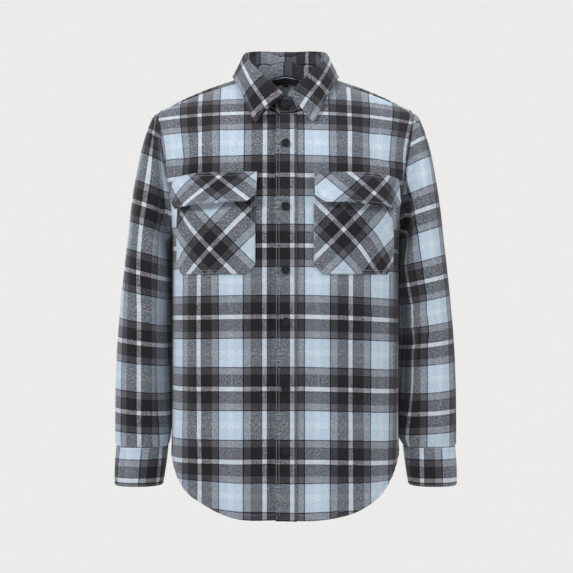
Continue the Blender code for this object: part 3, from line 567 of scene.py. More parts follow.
def cuff_grid():
    """Points of the cuff: a band whose ends overlap behind the wrist."""
    turn = line(0, 360 + CUFF_OVERLAP, CUFF_COLUMNS)[:, None]
    places = [0, CUFF_OVERLAP, *CUFF_EVEN, 360, 360 + CUFF_OVERLAP]
    ease = smooth(turn, places, [-1, -1, 0, 0, 1, 1])
    rows = rows_at(CUFF, line(0, len(CUFF) - 1, CUFF_ROWS))
    return tube_point(rows, CUFF_START + turn, CUFF_STEP * ease)


# ---- collar ----
def folded(turn):
    """Degrees from the front, 0 to 180, whichever way round."""
    turn = np.abs(np.asarray(turn, float)) % 360
    return np.minimum(turn, 360 - turn)


def stand_point(turn, share, step):
    """Points of the stand's outer side, by degrees from the front, share of its height and layer."""
    rise = STAND_BASE + (read(COLLAR, folded(turn)) - STAND_BASE) * share
    lean = STAND_STEP * step - STAND_LEAN * share + 0 * rise
    return neck_ring(turn) + rise[:, None] * UP + lean[:, None] * neck_out(turn)


def stand_turns():
    """Degrees round the neck of the stand's columns, from its button end to its top end."""
    end = math.degrees(math.asin(-PLACKET_LEFT / NECK_HALF_WIDTH))
    return end, line(end, -360 - end, STAND_COLUMNS)


def stand_grid():
    """Points of the collar stand: a band from its button end round the nape to its top end."""
    end, turn = stand_turns()
    places = [-end, end, STAND_EVEN, 360 - STAND_EVEN, 360 - end, 360 + end]
    ease = smooth(-turn, places, [-1, -1, 0, 0, 1, 1])
    around = (turn + 180) % 360 - 180
    return np.stack([stand_point(around, share, ease) for share in line(0, 1, STAND_ROWS)], 1)


def neck_ring(turn):
    """Neckline points all round: negative degrees are the wearer's right."""
    place = neckline(np.abs(turn))
    points = upper(place[:, 0], place[:, 1])
    points[:, 0] *= np.where(np.asarray(turn) < 0, -1, 1)
    return points


def neck_out(turn):
    """Directions away from the neck, level, at places of the neckline."""
    angle = np.radians(turn)
    across, forward = np.sin(angle) / NECK_HALF_WIDTH, 2 * np.cos(angle) / (NECK_BACK_Y - NECK_FRONT_Y)
    return unit(joined(across, -forward, 0 * angle))


def leaf_rows():
    """Rows of the collar leaf's upper side, from the stand over the fold to the free edge."""
    turn = line(LEAF_START, 180, LEAF_COLUMNS)
    turn = np.concatenate([turn, -turn[-2::-1]])
    half = folded(turn)
    side = np.where(turn < 0, -1.0, 1.0)
    along = (half - LEAF_START) / (180 - LEAF_START)
    out = neck_out(turn)
    joint = stand_point(turn, 1.0, 0.0) + UP * SEAM_GAP - out * WALL
    top = joint.copy()
    top[:, 2] = read(COLLAR, half, 2)
    x = np.where(side > 0, read(LEAF_EDGE, along), read(LEAF_EDGE, along, 2))
    over = read(LEAF_EDGE, along, 3)
    swell = read(COLLAR, half, 3)[:, None]
    q = upper_share(x, over)
    edge = upper(q, over)
    normal = unit(np.cross(upper(q + PLACE_STEP, over) - edge, upper(q, over + 1) - edge))
    edge = edge + normal * (LEAF_CLEAR + WALL)
    edge[:, 0] *= side
    low_fold = top - UP * FOLD_RADIUS
    outer_fold = top + out * 2 * FOLD_RADIUS - UP * FOLD_RADIUS
    rows = [joint, (joint + low_fold) / 2, low_fold, top + out * FOLD_RADIUS, outer_fold]
    for share in LEAF_SHARES:
        lift = (out + UP) / math.sqrt(2) * swell * math.sin(math.pi * share)
        rows.append(outer_fold + (edge - outer_fold) * share + lift)
    return np.stack(rows + [edge])


def leaf_grid():
    """The collar leaf's rows, made fine: close together over the fold."""
    fine = np.interp(line(0, 1, LEAF_ROWS), [0, 0.12, 0.38, 1], [0, 0.10, 0.26, 1])
    return smooth(fine, LEAF_ROW_PLACES, leaf_rows(), level=False).transpose(1, 0, 2)


# ---- directions and distances on a grid ----
def own_normals(grid, closed=False):
    """Outward directions at a grid's points, from its own faces."""
    ring = np.concatenate([grid, grid[:1]]) if closed else grid
    face = np.cross(ring[1:, 1:] - ring[:-1, :-1], ring[:-1, 1:] - ring[1:, :-1])
    found = np.zeros_like(ring)
    for a in (np.s_[:-1], np.s_[1:]):
        for b in (np.s_[:-1], np.s_[1:]):
            found[a, b] += face
    if closed:
        found[0] += found[-1]
        found = found[:-1]
    return unit(found)


def shared_normals(grids):
    """The same, but alike where two pieces meet, unless the seam between them is a tight crease."""
    own = {name: own_normals(*grid) for name, grid in grids.items()}
    points = np.concatenate([grid.reshape(-1, 3) for grid, _ in grids.values()])
    found = np.concatenate([own[name].reshape(-1, 3) for name in grids])
    _, place = np.unique(np.round(points, 5), axis=0, return_inverse=True)
    place = place.reshape(-1)
    total = unit(np.stack([np.bincount(place, found[:, k]) for k in range(3)], -1)[place])
    cosine = (total * found).sum(1)
    mitred = total / np.maximum(cosine, MITRE)[:, None]
    found = np.where((cosine > SPLIT_DOT)[:, None], mitred, found)
    ends = np.cumsum([grid.size // 3 for grid, _ in grids.values()])[:-1]
    return {name: part.reshape(own[name].shape)
            for name, part in zip(grids, np.split(found, ends))}


def edge_distances(grid):
    """Distances of a grid's points from its first and last column, and first and last row."""
    across = run_along(grid, 0)
    along = run_along(grid, 1)
    return across, across[-1:] - across, along, along[:, -1:] - along


def at_grid(grid, a, b):
    """Points of a grid at fractional places."""
    a = np.clip(a, 0, grid.shape[0] - 1)
    b = np.clip(b, 0, grid.shape[1] - 1)
    i = np.minimum(a.astype(int), grid.shape[0] - 2)
    j = np.minimum(b.astype(int), grid.shape[1] - 2)
    s, t = (a - i)[..., None], (b - j)[..., None]
    near = grid[i, j] * (1 - s) + grid[i + 1, j] * s
    far = grid[i, j + 1] * (1 - s) + grid[i + 1, j + 1] * s
    return near * (1 - t) + far * t


def mirrored(grid):
    """The same grid on the wearer's right, its order turned so that it still faces out."""
    return (grid * FLIP)[::-1]


def moved_out(surface, a, b, offset):
    """Points of a surface at a and b, moved out along its normal, and those normals."""
    normal = unit(np.cross(surface(a + MOVE_STEP, b) - surface(a - MOVE_STEP, b),
                           surface(a, b + MOVE_STEP) - surface(a, b - MOVE_STEP)))
    return surface(a, b) + normal * np.asarray(offset)[..., None], normal


# ---- the plaid's place on each piece ----
# Places on the cloth are metres across (warp stripes) and down (weft stripes) from the crossing of
# two white stripes.
WARP_REPEAT, WEFT_REPEAT = 0.1105, 0.1175
HALF_ROUND = 0.2655  # a quarter of the way round the body, along the cloth
LEFT_WHITE, RIGHT_WHITE = 0.1066, -0.0343  # white warp stripes of the two fronts
PLACKET_WHITE = 0.0107
WEFT_LEVELS = (  # columns: level z at the centre, distance down the cloth
    (-0.7620, 0.7050),
    (-0.6423, 0.5875),
    (-0.5226, 0.4700),
    (-0.4041, 0.3525),
    (-0.2878, 0.2350),
    (-0.1722, 0.1175),
    (-0.0652, 0.0000),
    (0.0200, -0.1250),
)
CHEST_EASE = 0.07  # how much more cloth the upper body has at its sides than it spans there
CHEST_SIDE = 0.19
CHEST_FADE = (0.05, 0.142)  # distances below the shoulders between which that comes in
BLEND_BELOW, BLEND_ABOVE = 0.005, 0.060  # heights at the underarm between which it takes over
DROOP_WIDTH = 0.19
DROOP_LEFT, DROOP_RIGHT = 0.0085, 0.0035  # fall of the weft stripes at that width
HEM_RISE = -0.0140  # and how much more they rise towards the sides at the hem
HEM_FADE = (0.655, 0.700)  # distances below the shoulders between which that comes in
BACK_DROOP = 0.3  # share of that fall which the back has
YOKE_SCALE = 1.13  # how much more cloth the yoke has across than it spans
YOKE_DOWN = 0.0135  # place of its front seam down the cloth
YOKE_STEPS = 24  # steps in which the cloth over the shoulder is measured
SLEEVE_WHITES = {  # columns: level z, how far out a warp boundary lies
    "left": ((-0.640, 0.2384), (-0.510, 0.2377), (-0.457, 0.2366), (-0.436, 0.2390),
             (-0.4185, 0.2392), (-0.3994, 0.2346), (-0.376, 0.2356), (-0.3418, 0.2306),
             (-0.3054, 0.2259), (-0.2627, 0.2206), (-0.2285, 0.2142), (-0.2050, 0.2099),
             (-0.1793, 0.2035), (-0.1200, 0.1960)),
    "right": ((-0.6171, 0.2468), (-0.5681, 0.2461), (-0.4506, 0.2451), (-0.3944, 0.2446),
              (-0.3352, 0.2463), (-0.2989, 0.2453), (-0.2563, 0.2419), (-0.2168, 0.2367),
              (-0.1708, 0.2302), (-0.1364, 0.2270), (-0.0900, 0.2225)),
}
SLEEVE_START = {"left": 0.0349, "right": 0.0}  # from that boundary back to the white stripe
SLEEVE_LEVELS = {  # columns: level z where the sleeve is 0.24 out, distance down the cloth
    "left": ((-0.6850, 0.4700), (-0.5686, 0.3525), (-0.4529, 0.2350), (-0.3446, 0.1175),
             (-0.2233, 0.0000), (-0.1000, -0.1175), (-0.0300, -0.1900)),
    "right": ((-0.6850, 0.4700), (-0.5676, 0.3525), (-0.4503, 0.2350), (-0.3333, 0.1175),
              (-0.2168, 0.0000), (-0.1300, -0.0820), (-0.0860, -0.1175), (-0.0200, -0.1900)),
}
SLEEVE_MIDDLE = 0.24
SLEEVE_MODEL_Z = -0.40  # level whose outermost warp thread runs straight down the back's side
SLEEVE_TURN = 0.110  # length over which the back's stripes straighten, from that thread
SLEEVE_CAP_TURN = 0.120  # and over which the cap's shorter rings come to hold the same cloth
SLEEVE_TILT = (  # columns: level z, degrees by which its weft stripes fall towards the body
    (-0.650, 3.0),
    (-0.570, 4.0),
    (-0.455, 7.0),
    (-0.345, 13.5),
    (-0.220, 19.0),
    (-0.100, 28.0),
)
CUFF_WHITE_Z = -0.6825
CUFF_WHITES = {"left": 0.0189, "right": 0.0370}  # white stripe, inwards of the cuff's front middle
CUFF_LEANS = {"left": -0.074, "right": 0.0}  # how far its stripes lean off the cuff's taper
COLLAR_WHITE = 0.0335  # white stripe along the leaf, in from its edge
COLLAR_FIRST, COLLAR_LAST = 0.0660, 0.0165  # white stripes across it, from its two front edges
COLLAR_LEANS = (0.33, 0.17)  # how far those two lean off from their front edges
COLLAR_BACK = 0.0500  # and the one beside the centre back
COLLAR_ROLL, COLLAR_EASE = 0.0450, 0.55  # beyond this distance in, the cloth runs slower
COLLAR_SQUARE = 0.200  # over this length from its front edges, its stripes turn square to its edge
LEAF_CREST = 12  # row of the leaf's fine grid that lies on its fold
COLLAR_SPARE = 0.05  # how far its chart runs on past its two front edges
STAND_STRIPES = (  # columns: place along the stand from the nape, place across its cloth
    (-0.070, -0.08594),
    (0.040, 0.0),
    (0.100, 0.04688),
)
STAND_ENDS = (-0.2310, 0.2240)  # places across the cloth of its two ends
STAND_HALF = 0.0130  # half the stand's height
STAND_SHADE_WEFT, STAND_SHADE_SPREAD = 0.0284, 0.38  # the grey weft band at that height, drawn instead of the blue as painted shade inside the neck, and its spread
STAND_CURVE = 0.0450  # how far the weft runs off along it, from the nape to the front
POCKET_CROSSING = {"left": (0.0941, -0.2617), "right": (-0.1238, -0.2930)}
FLAP_CROSSING = {"left": (0.1416, -0.2020), "right": (-0.1095, -0.1755)}
FLAP_SHORTENING = {"left": 1.15, "right": 1.26}
CORNER_PULL = {"left": 0.17, "right": 0.0}  # how far a pocket's cloth is drawn in at its foot
SLIT_PLACE = (0.012, 0.040)  # place on the cloth of a slit strip's lower corner
PLACKET_DARK = 0.0205  # charcoal reaches this far from the white stripe, then to the free edge
PLACKET_MORE = 0.8  # how much narrower that band is drawn than it is woven


def across_body(point):
    """Distance round the body from its centre line, along the cloth."""
    x, z = point[..., 0], point[..., 2]
    over = over_at(x, np.maximum(z, ARMPIT_Z))
    share = np.where(z > ARMPIT_Z, upper_share(x, over), share_of(x / HALF_WIDTH))
    flat = x * (1 + CHEST_EASE * (np.abs(x) / CHEST_SIDE) ** 4 * eased(-z, *CHEST_FADE))
    upwards = eased(z, ARMPIT_Z - BLEND_BELOW, ARMPIT_Z + BLEND_ABOVE)
    return HALF_ROUND * share * (1 - upwards) + flat * upwards


def down_body(point):
    """Distance down the cloth from the first white weft stripe."""
    x, z = point[..., 0], point[..., 2]
    sides = (x / DROOP_WIDTH) ** 2
    droop = np.where(x > 0, DROOP_LEFT, DROOP_RIGHT) * sides + HEM_RISE * sides * eased(-z, *HEM_FADE)
    droop = droop * np.where(point[..., 1] < 0, 1.0, BACK_DROOP)
    return read(WEFT_LEVELS, z + droop)


def body_chart(point, white):
    return joined(across_body(point) - white, down_body(point))


def yoke_chart(point):
    """The yoke's cloth runs on over the shoulder, from its front seam to its back seam."""
    x = point[..., 0]
    over = over_at(x, point[..., 2]) * np.where(point[..., 1] < ridge_y(x), -1, 1)
    here = over * line(0, 1, YOKE_STEPS)[:, None, None]
    run = run_along(upper(upper_share(x, here), here), 0)[-1]
    return joined(YOKE_SCALE * x - WARP_REPEAT / 2, YOKE_DOWN + run * np.sign(over))


def sleeve_chart(grid, name):
    """The sleeve's cloth, on its grid for the wearer's left, with a last column for its seam."""
    ring = np.concatenate([grid, grid[:1]])
    run = run_along(ring * (1, 1, 0), 0)
    x, z = ring[..., 0], ring[..., 2]
    gap = x - np.interp(z, *np.transpose(SLEEVE_WHITES[name]))
    top = np.argmax(ring[:, 0, 2])
    offsets = []
    for j in range(ring.shape[1]):
        head = np.argmax(ring[:top + 1, j, 0])
        offsets.append(np.interp(0.0, np.maximum.accumulate(gap[:head, j]), run[:head, j]))
    offsets = np.array(offsets)
    for _ in range(6):
        offsets[1:-1] = (offsets[:-2] + 2 * offsets[1:-1] + offsets[2:]) / 4
    across = run - offsets + SLEEVE_START[name]
    # Behind its outermost thread the cloth runs straight down, and the cap holds as much of it.
    model = np.argmin(np.abs(z[top] - SLEEVE_MODEL_Z))
    outer = np.argmax(x[:, model])
    behind = run - run[outer]
    across = across - (across[outer] - across[outer, model]) * eased(behind, 0.0, SLEEVE_TURN)
    widest = np.argmax(behind[-1])
    more = np.where(np.arange(len(offsets)) < widest, behind[-1, widest] / behind[-1] - 1, 0)
    across = across + more * behind * eased(behind, 0.0, SLEEVE_CAP_TURN)
    tilt = np.radians(np.interp(z, *np.transpose(SLEEVE_TILT)))
    down = read(SLEEVE_LEVELS[name], z + np.tan(tilt) * (SLEEVE_MIDDLE - x))
    return joined(across, down)


def cuff_chart(grid, name):
    run = run_along(grid, 0)
    front = (360 + 90 - CUFF_START) / (360 + CUFF_OVERLAP) * CUFF_COLUMNS
    middle = np.array([np.interp(front, range(len(run)), along) for along in run.T])
    lean = CUFF_LEANS[name] * (grid[..., 2] - CUFF[1][1])
    return joined(run - middle + CUFF_WHITES[name] + lean, CUFF_WHITE_Z - grid[..., 2])


def leaf_chart(grid):
    """The collar's cloth: along it from the wearer's left front edge, and in from its outer edge.
    Its stripes run along the outer edge, and at the front along the two front edges."""
    edge = grid[:, -1]
    run = run_along(edge, 0)
    end = run[-1]
    tangent = unit(np.gradient(edge, axis=0))
    inwards = run_along(grid[:, ::-1], 1)[:, ::-1]
    outside = np.maximum(np.arange(grid.shape[1]), LEAF_CREST)
    slant = ((grid - edge[:, None]) * tangent[:, None]).sum(-1)[:, outside]
    depth = inwards[:, outside]
    half = LEAF_ROWS * 2 // 3
    first = (slant[0, half] / depth[0, half] - COLLAR_LEANS[0]) * eased(-run, -COLLAR_SQUARE, 0)
    last = (slant[-1, half] / depth[-1, half] + COLLAR_LEANS[1]) * eased(run, end - COLLAR_SQUARE, end)
    along = run[:, None] + slant - depth * (first + last)[:, None]
    middle = end / 2
    table = (
        (-COLLAR_SPARE, -COLLAR_FIRST - COLLAR_SPARE),
        (0.0, -COLLAR_FIRST),
        (COLLAR_FIRST, 0),
        (middle - COLLAR_BACK, WARP_REPEAT),
        (end - COLLAR_LAST, 3 * WARP_REPEAT),
        (end + COLLAR_SPARE, 3 * WARP_REPEAT + COLLAR_LAST + COLLAR_SPARE),
    )
    down = np.minimum(inwards, COLLAR_ROLL) - COLLAR_WHITE
    down = down + COLLAR_EASE * np.maximum(inwards - COLLAR_ROLL, 0)
    return joined(read(table, along), down)


def stand_chart(grid):
    run = run_along(grid, 0)
    _, turn = stand_turns()
    back = np.array([np.interp(180.0, -turn, along) for along in run.T])
    half = back[0]
    table = ((-half, STAND_ENDS[0]), *STAND_STRIPES, (half, STAND_ENDS[1]))
    curve = STAND_CURVE * (np.abs(run - back) / half) ** 2
    # Painted shade: the stand's weft is drawn on the darker grey band instead of the blue, standing in
    # for the shade inside the neck.
    down = STAND_SHADE_WEFT + STAND_SHADE_SPREAD * (STAND_HALF - curve - run_along(grid, 1))
    return joined(read(table, run - back), down)


def bias_chart(point, crossing, shortening, corner_pull=0.0):
    """Cloth cut on the bias: turned half a right angle about the crossing of two white stripes."""
    middle = HALF_ROUND * share_of(crossing[0] / HALF_WIDTH)
    across = HALF_ROUND * share_of(point[..., 0] / HALF_WIDTH) - middle
    down = (crossing[1] - point[..., 2]) * shortening
    across = across * (1 + corner_pull * eased(across, 0, 0.05) * eased(down, 0, 0.06))
    half = math.sqrt(0.5)
    return joined((across + down) * half, (down - across) * half)


# ---- creases ----
# Each is a soft trough (below zero) or ridge (above) along a slightly bent line. Columns, in
# millimetres: where it starts and ends, across and up; its width; its height; its bend.
def creased(across, up, table):
    across, up = across * 1000, up * 1000
    height = np.zeros(np.broadcast(across, up).shape)
    for start_a, start_b, end_a, end_b, width, depth, bend in table:
        run_a, run_b = end_a - start_a, end_b - start_b
        length = math.hypot(run_a, run_b)
        along = ((across - start_a) * run_a + (up - start_b) * run_b) / length ** 2
        side = ((up - start_b) * run_a - (across - start_a) * run_b) / length
        side = side - bend * np.sin(np.pi * np.clip(along, 0, 1))
        ends = eased(along, -0.10, 0.35) * eased(-along, -1.10, -0.65)
        height += depth * ends * np.exp(-(side / width) ** 2)
    return height / 1000


FRONT_CREASES = (
    (-150, -84, -186, -168, 9, -3.0, 6),
    (-104, -78, -150, -140, 10, 2.1, 5),
    (-52, -92, -94, -150, 9, -1.9, -4),
    (136, -82, 182, -160, 9, -3.2, -6),
    (98, -80, 140, -142, 10, 2.2, -4),
    (46, -96, 90, -152, 9, -1.9, 4),
    (-192, -196, -158, -300, 8, -2.6, 5),
    (190, -190, 160, -290, 8, -2.9, -5),
    (-192, -250, -150, -318, 9, 2.1, 4),
    (192, -240, 168, -330, 9, 2.2, -4),
    (-23, -96, -22, -300, 6, -3.0, 1),
    (-22, -290, -23, -520, 6, -3.4, -1),
    (-23, -505, -22, -735, 6, -2.9, 1),
    (26, -150, 30, -330, 8, -1.6, 2),
    (27, -360, 29, -600, 8, -1.8, -2),
    (-66, -336, -74, -560, 15, 2.7, 5),
    (-70, -520, -80, -735, 14, 2.4, -4),
    (-112, -345, -118, -690, 15, -2.7, -6),
    (-156, -330, -160, -640, 16, 2.4, 5),
    (58, -340, 62, -520, 14, 2.9, -4),
    (66, -500, 82, -735, 15, 2.6, 5),
    (104, -348, 112, -700, 14, -2.7, 6),
    (150, -335, 156, -625, 16, 2.2, -5),
    (-40, -452, -118, -470, 13, -1.6, 5),
    (38, -560, 122, -548, 14, -1.6, -5),
    (-96, -612, -176, -588, 13, 1.6, 5),
    (84, -420, 168, -402, 13, 1.4, 5),
)
BACK_CREASES = (
    (-60, -150, -85, -420, 18, 3.4, 8),
    (-82, -400, -70, -700, 20, 2.9, -7),
    (58, -150, 88, -460, 18, 3.2, -8),
    (84, -430, 96, -700, 20, 3.0, 6),
    (-6, -130, 4, -400, 20, -3.7, 4),
    (2, -380, -10, -700, 22, -3.2, -5),
    (-130, -180, -150, -420, 16, -3.4, -8),
    (-148, -400, -140, -650, 18, -2.9, 6),
    (128, -170, 152, -400, 16, -3.2, 8),
    (146, -390, 158, -640, 18, -3.0, -6),
    (-186, -200, -120, -262, 10, -2.9, 5),
    (188, -205, 126, -280, 10, -2.7, -5),
    (-150, -110, -176, -170, 9, 2.2, -4),
    (152, -112, 178, -168, 9, 2.4, 4),
    (-60, -500, -130, -520, 13, -1.8, 5),
    (50, -470, 122, -455, 13, 1.6, -5),
)
SLEEVE_CREASES = {  # across is the distance outwards; the first table is its front, then its back
    "left": ((
        (192, -130, 205, -340, 13, -7.0, 3),
        (206, -330, 204, -612, 12, -12.5, 1),
        (207, -160, 217, -330, 8, 2.2, 3),
        (200, -170, 243, -226, 8, -1.8, 4),
        (199, -196, 236, -275, 8, -1.8, 4),
        (212, -118, 246, -160, 8, 1.4, -4),
        (204, -330, 214, -388, 8, -1.8, 3),
        (198, -395, 236, -386, 7, -2.4, 4),
        (200, -420, 226, -432, 6, 2.4, 3),
        (197, -436, 222, -462, 7, -2.6, -3),
        (226, -372, 262, -402, 9, -1.4, -4),
        (215, -470, 212, -604, 10, -1.2, 4),
        (262, -480, 258, -612, 11, 1.2, -4),
        (232, -628, 236, -658, 5, -1.2, 1),
        (262, -622, 259, -658, 6, -1.0, 1),
    ), (
        (198, -170, 226, -300, 9, -2.4, 5),
        (214, -150, 244, -262, 10, 1.8, 5),
        (205, -372, 262, -392, 9, -2.2, 5),
        (207, -408, 258, -414, 9, -2.0, -4),
        (214, -440, 262, -428, 8, 1.8, 4),
        (232, -470, 226, -610, 12, 1.4, -5),
        (222, -626, 224, -658, 5, -1.3, 1),
        (248, -618, 246, -658, 6, -1.5, -1),
    )),
    "right": ((
        (192, -140, 205, -340, 12, -7.0, 3),
        (206, -320, 205, -606, 11, -8.5, 1),
        (208, -165, 216, -345, 8, 1.8, 3),
        (201, -165, 236, -232, 8, -1.7, 4),
        (200, -200, 230, -290, 8, -1.5, 4),
        (226, -92, 213, -116, 5, -2.0, 2),
        (232, -132, 250, -214, 9, 1.2, 5),
        (203, -385, 238, -402, 9, -1.6, 3),
        (200, -430, 240, -436, 9, -1.6, -3),
        (268, -350, 262, -430, 9, 1.0, 4),
        (214, -470, 210, -610, 10, -1.3, 4),
        (246, -480, 250, -600, 12, 1.0, -4),
        (226, -630, 228, -658, 5, -1.1, 1),
        (258, -624, 256, -658, 6, -1.1, -1),
    ), (
        (198, -165, 230, -290, 9, -2.2, 5),
        (216, -140, 250, -240, 10, 1.6, 5),
        (206, -380, 258, -402, 9, -2.1, -4),
        (204, -424, 262, -420, 9, -1.9, 5),
        (212, -452, 256, -446, 8, 1.5, 4),
        (240, -478, 232, -606, 12, 1.3, 5),
        (228, -624, 230, -658, 5, -1.3, 1),
        (252, -620, 250, -658, 6, -1.2, -1),
    )),
}
# Where a sleeve's creases come in: its front and back, by share of its half depth, and its inner
# side, by distance outwards; and its swell, by distance outwards of its innermost thread, negated.
FRONT_SIDE, BACK_SIDE = (0.0, 0.40), (-0.10, 0.35)
INNER_SIDE, SWELL_SIDE = (0.188, 0.1965), (-0.030, -0.004)
FLUTTER = {  # columns: height of the hem's waves, radians in a metre across and down, their start,
    # distances below the shoulders between which they grow
    "front": (0.0030, 62, 9, 0.0, 0.50, 0.76),
    "back": (0.0035, 55, 8, 1.0, 0.45, 0.76),
}
# How far the body and the sleeve swell towards each other along the body's side; below zero the body
# is drawn in.
BODY_SWELL = {"left": -0.0032, "right": 0.0019}
SLEEVE_SWELL = {"left": 0.0066, "right": 0.0019}
SWELL_FOOT, SWELL_HEAD = (-0.650, -0.590), (0.255, 0.315)  # levels z, and depths, where they grow
SWELL_REACH = 0.040  # width beside the side seam over which the body swells
PUCKER = 0.0005  # height of the small puckers that sewing leaves beside a seam
PUCKER_PITCH = 0.0135
PUCKER_REACH = 0.0055  # distance from the seam where they are highest
SIDE_SEAM = 0.3  # depth of the side seams, as a share of the others'
SEAM_CLEAR = 0.0240  # width beside a seam over which creases fade into it
SEAM_START = 0.002  # distance from a seam at which they begin
SIDE_START = 0.001  # the same at the body's side seams and armholes, and at the cuffs
UNDERARM_RISE = 0.030  # height over which the armholes take over from the side seams
FLUTTER_BEND = 0.6  # how unevenly the hem's waves run
FOLD_RISE, FOLD_RUN = 0.0004, 0.002  # step of a turned edge at its stitches
ROPE_PITCH, ROPE_SLANT = 0.016, 0.9  # length and slant of the waves of a turned hem
ROPE_RISE, ROPE_REACH = 0.0005, 0.010  # their height, and how far up they reach
CUFF_PITCH, CUFF_WAVE, CUFF_REACH = 0.021, 0.0005, 0.018  # waves of a cuff's upper edge
CUFF_FADE = (0.010, 0.040)  # distances from a cuff's two ends between which they come in
CUFF_PUFF = 0.0008  # how far a cuff swells between its two edges
GATHER, GATHER_PITCH = 1.6, 0.019  # puckers of the sleeve where it is gathered at the cuff
SLEEVE_FOOT = 0.012  # width beside that seam over which the sleeve's creases fade
PLACKET_PITCH, PLACKET_WAVE, PLACKET_REACH = 0.023, 0.00035, 0.008  # waves of its two edges
DENT, DENT_ACROSS, DENT_UP = 0.0006, 0.010, 0.012  # how a button draws the placket in
PLACKET_LIFT = 0.0020  # how far the placket's free edge stands off the front below it
LIFT_REACH = 0.014  # width over which that grows
COLLAR_PUCKER = 0.6  # height of the collar's puckers, as a share of the others'
STAND_FADE = 0.020  # width at the stand's ends over which its puckers and groove come in
LEAF_STEP = 0.0005  # step of the collar's leaf at its stitches
LEAF_FADE = (0.030, 0.040)  # distances from its joint between which its step and puckers come in
POCKET_DEEP = 0.14  # height of a pocket, about
PUFF = 0.0030  # how far a pocket or a flap stands off in its middle
PUFF_FADE = (0.004, 0.040)  # distances from a pocket's edge between which that comes in
LABEL_WAVE, LABEL_RATE = 0.0003, 240  # height of the labels' ripple, and its radians in a metre


def side_swell(z):
    return eased(z, *SWELL_FOOT) * eased(-z, *SWELL_HEAD)


def body_swell(grid, d_side):
    most = np.where(grid[..., 0] > 0, BODY_SWELL["left"], BODY_SWELL["right"])
    return most * side_swell(grid[..., 2]) * eased(-d_side, -SWELL_REACH, 0)


def groove(distance, row):
    """The soft groove that a row of stitches or a seam draws beside an edge."""
    place, width, depth = GROOVES[row]
    return -depth * np.exp(-((distance - place) / width) ** 2)


def puckers(distance, along, phase, pitch=PUCKER_PITCH):
    """Small uneven waves that run along a seam and die away from it."""
    fade = distance / PUCKER_REACH * np.exp(1 - distance / PUCKER_REACH)
    turn = 2 * np.pi * along / pitch + phase
    wave = np.sin(turn + 1.3 * np.sin(turn * 0.37 + phase * 2)) + 0.5 * np.sin(turn * 1.71 + phase)
    return PUCKER * fade * wave


def roped(place, pitch, bend, rate, phase=0.0):
    """Waves along an edge, made uneven by slower ones."""
    turn = 2 * np.pi * place / pitch + phase
    return np.sin(turn + bend * np.sin(turn * rate))


def hem_relief(distance, along, phase):
    """A turned and stitched hem, slightly roped, over the distance up from the edge."""
    fold = FOLD_RISE * eased(-distance, -HEM_FOLD, FOLD_RUN - HEM_FOLD)
    roping = ROPE_RISE * roped(along + distance * ROPE_SLANT, ROPE_PITCH, 1.0, 0.31, phase)
    return fold + groove(distance, "hem") + roping * np.exp(-(distance / ROPE_REACH) ** 2)


def near_side(point):
    """1 over the body, fading to 0 at the side seams and the armholes."""
    x, z = point[..., 0], point[..., 2]
    over = over_at(x, np.maximum(z, ARMPIT_Z))
    behind = point[..., 1] > ridge_y(x)
    edge = armhole(np.where(behind, over, -over).clip(-89.9, 89.9))[..., 0]
    high = eased((edge - np.abs(upper_share(x, over))) * HALF_ROUND, SIDE_START, SEAM_CLEAR)
    low = eased((1 - np.abs(share_of(x / HALF_WIDTH))) * HALF_ROUND, SIDE_START, SEAM_CLEAR)
    share = eased(z, ARMPIT_Z, ARMPIT_Z + UNDERARM_RISE)
    return low * (1 - share) + high * share


def body_relief(point, where="front"):
    """Height of the body's creases, which the pieces laid on it share."""
    x, z = point[..., 0], point[..., 2]
    tall, across, down, start, high, foot = FLUTTER[where]
    waves = tall * np.sin(x * across + start + FLUTTER_BEND * np.sin(z * down)) * eased(-z, high, foot)
    creases = creased(x, z, FRONT_CREASES if where == "front" else BACK_CREASES)
    return bpy.context.scene.shirt_cloth.crease_depth * near_side(point) * (creases + waves)


# ---- meshes ----
made = {}  # outer side and outward directions of each cloth piece built so far, by name
RIM_SWELL = 0.3  # how far a cloth's cut edge is rounded, as a share of its thickness


def placed(name, shape):
    """A new object in the scene."""
    piece = bpy.data.objects.new(name, shape)
    bpy.context.scene.collection.objects.link(piece)
    return piece


def mesh_of(name, points, faces, charts, finish_name):
    """A mesh object of four-cornered faces, with the cloth's places as its UV map."""
    mesh = bpy.data.meshes.new(name)
    mesh.vertices.add(len(points))
    mesh.vertices.foreach_set("co", points.astype(np.float32).ravel())
    mesh.loops.add(faces.size)
    mesh.loops.foreach_set("vertex_index", faces.astype(np.int32).ravel())
    mesh.polygons.add(len(faces))
    mesh.polygons.foreach_set("loop_start", np.arange(0, faces.size, 4, dtype=np.int32))
    mesh.update(calc_edges=True)
    if charts is not None:
        layer = mesh.uv_layers.new(name="cloth")
        layer.data.foreach_set("uv", charts.astype(np.float32).ravel())
    mesh.validate()
    mesh.shade_smooth()
    mesh.materials.append(finish(finish_name))
    return placed(name, mesh)


def seated(piece, slot, *nodes):
    """The piece rides on the shirt's body and stands for its CAD nodes, which are hidden; slot is not
    used.
    """
    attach(piece, "root")
    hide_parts(*nodes)
    return piece


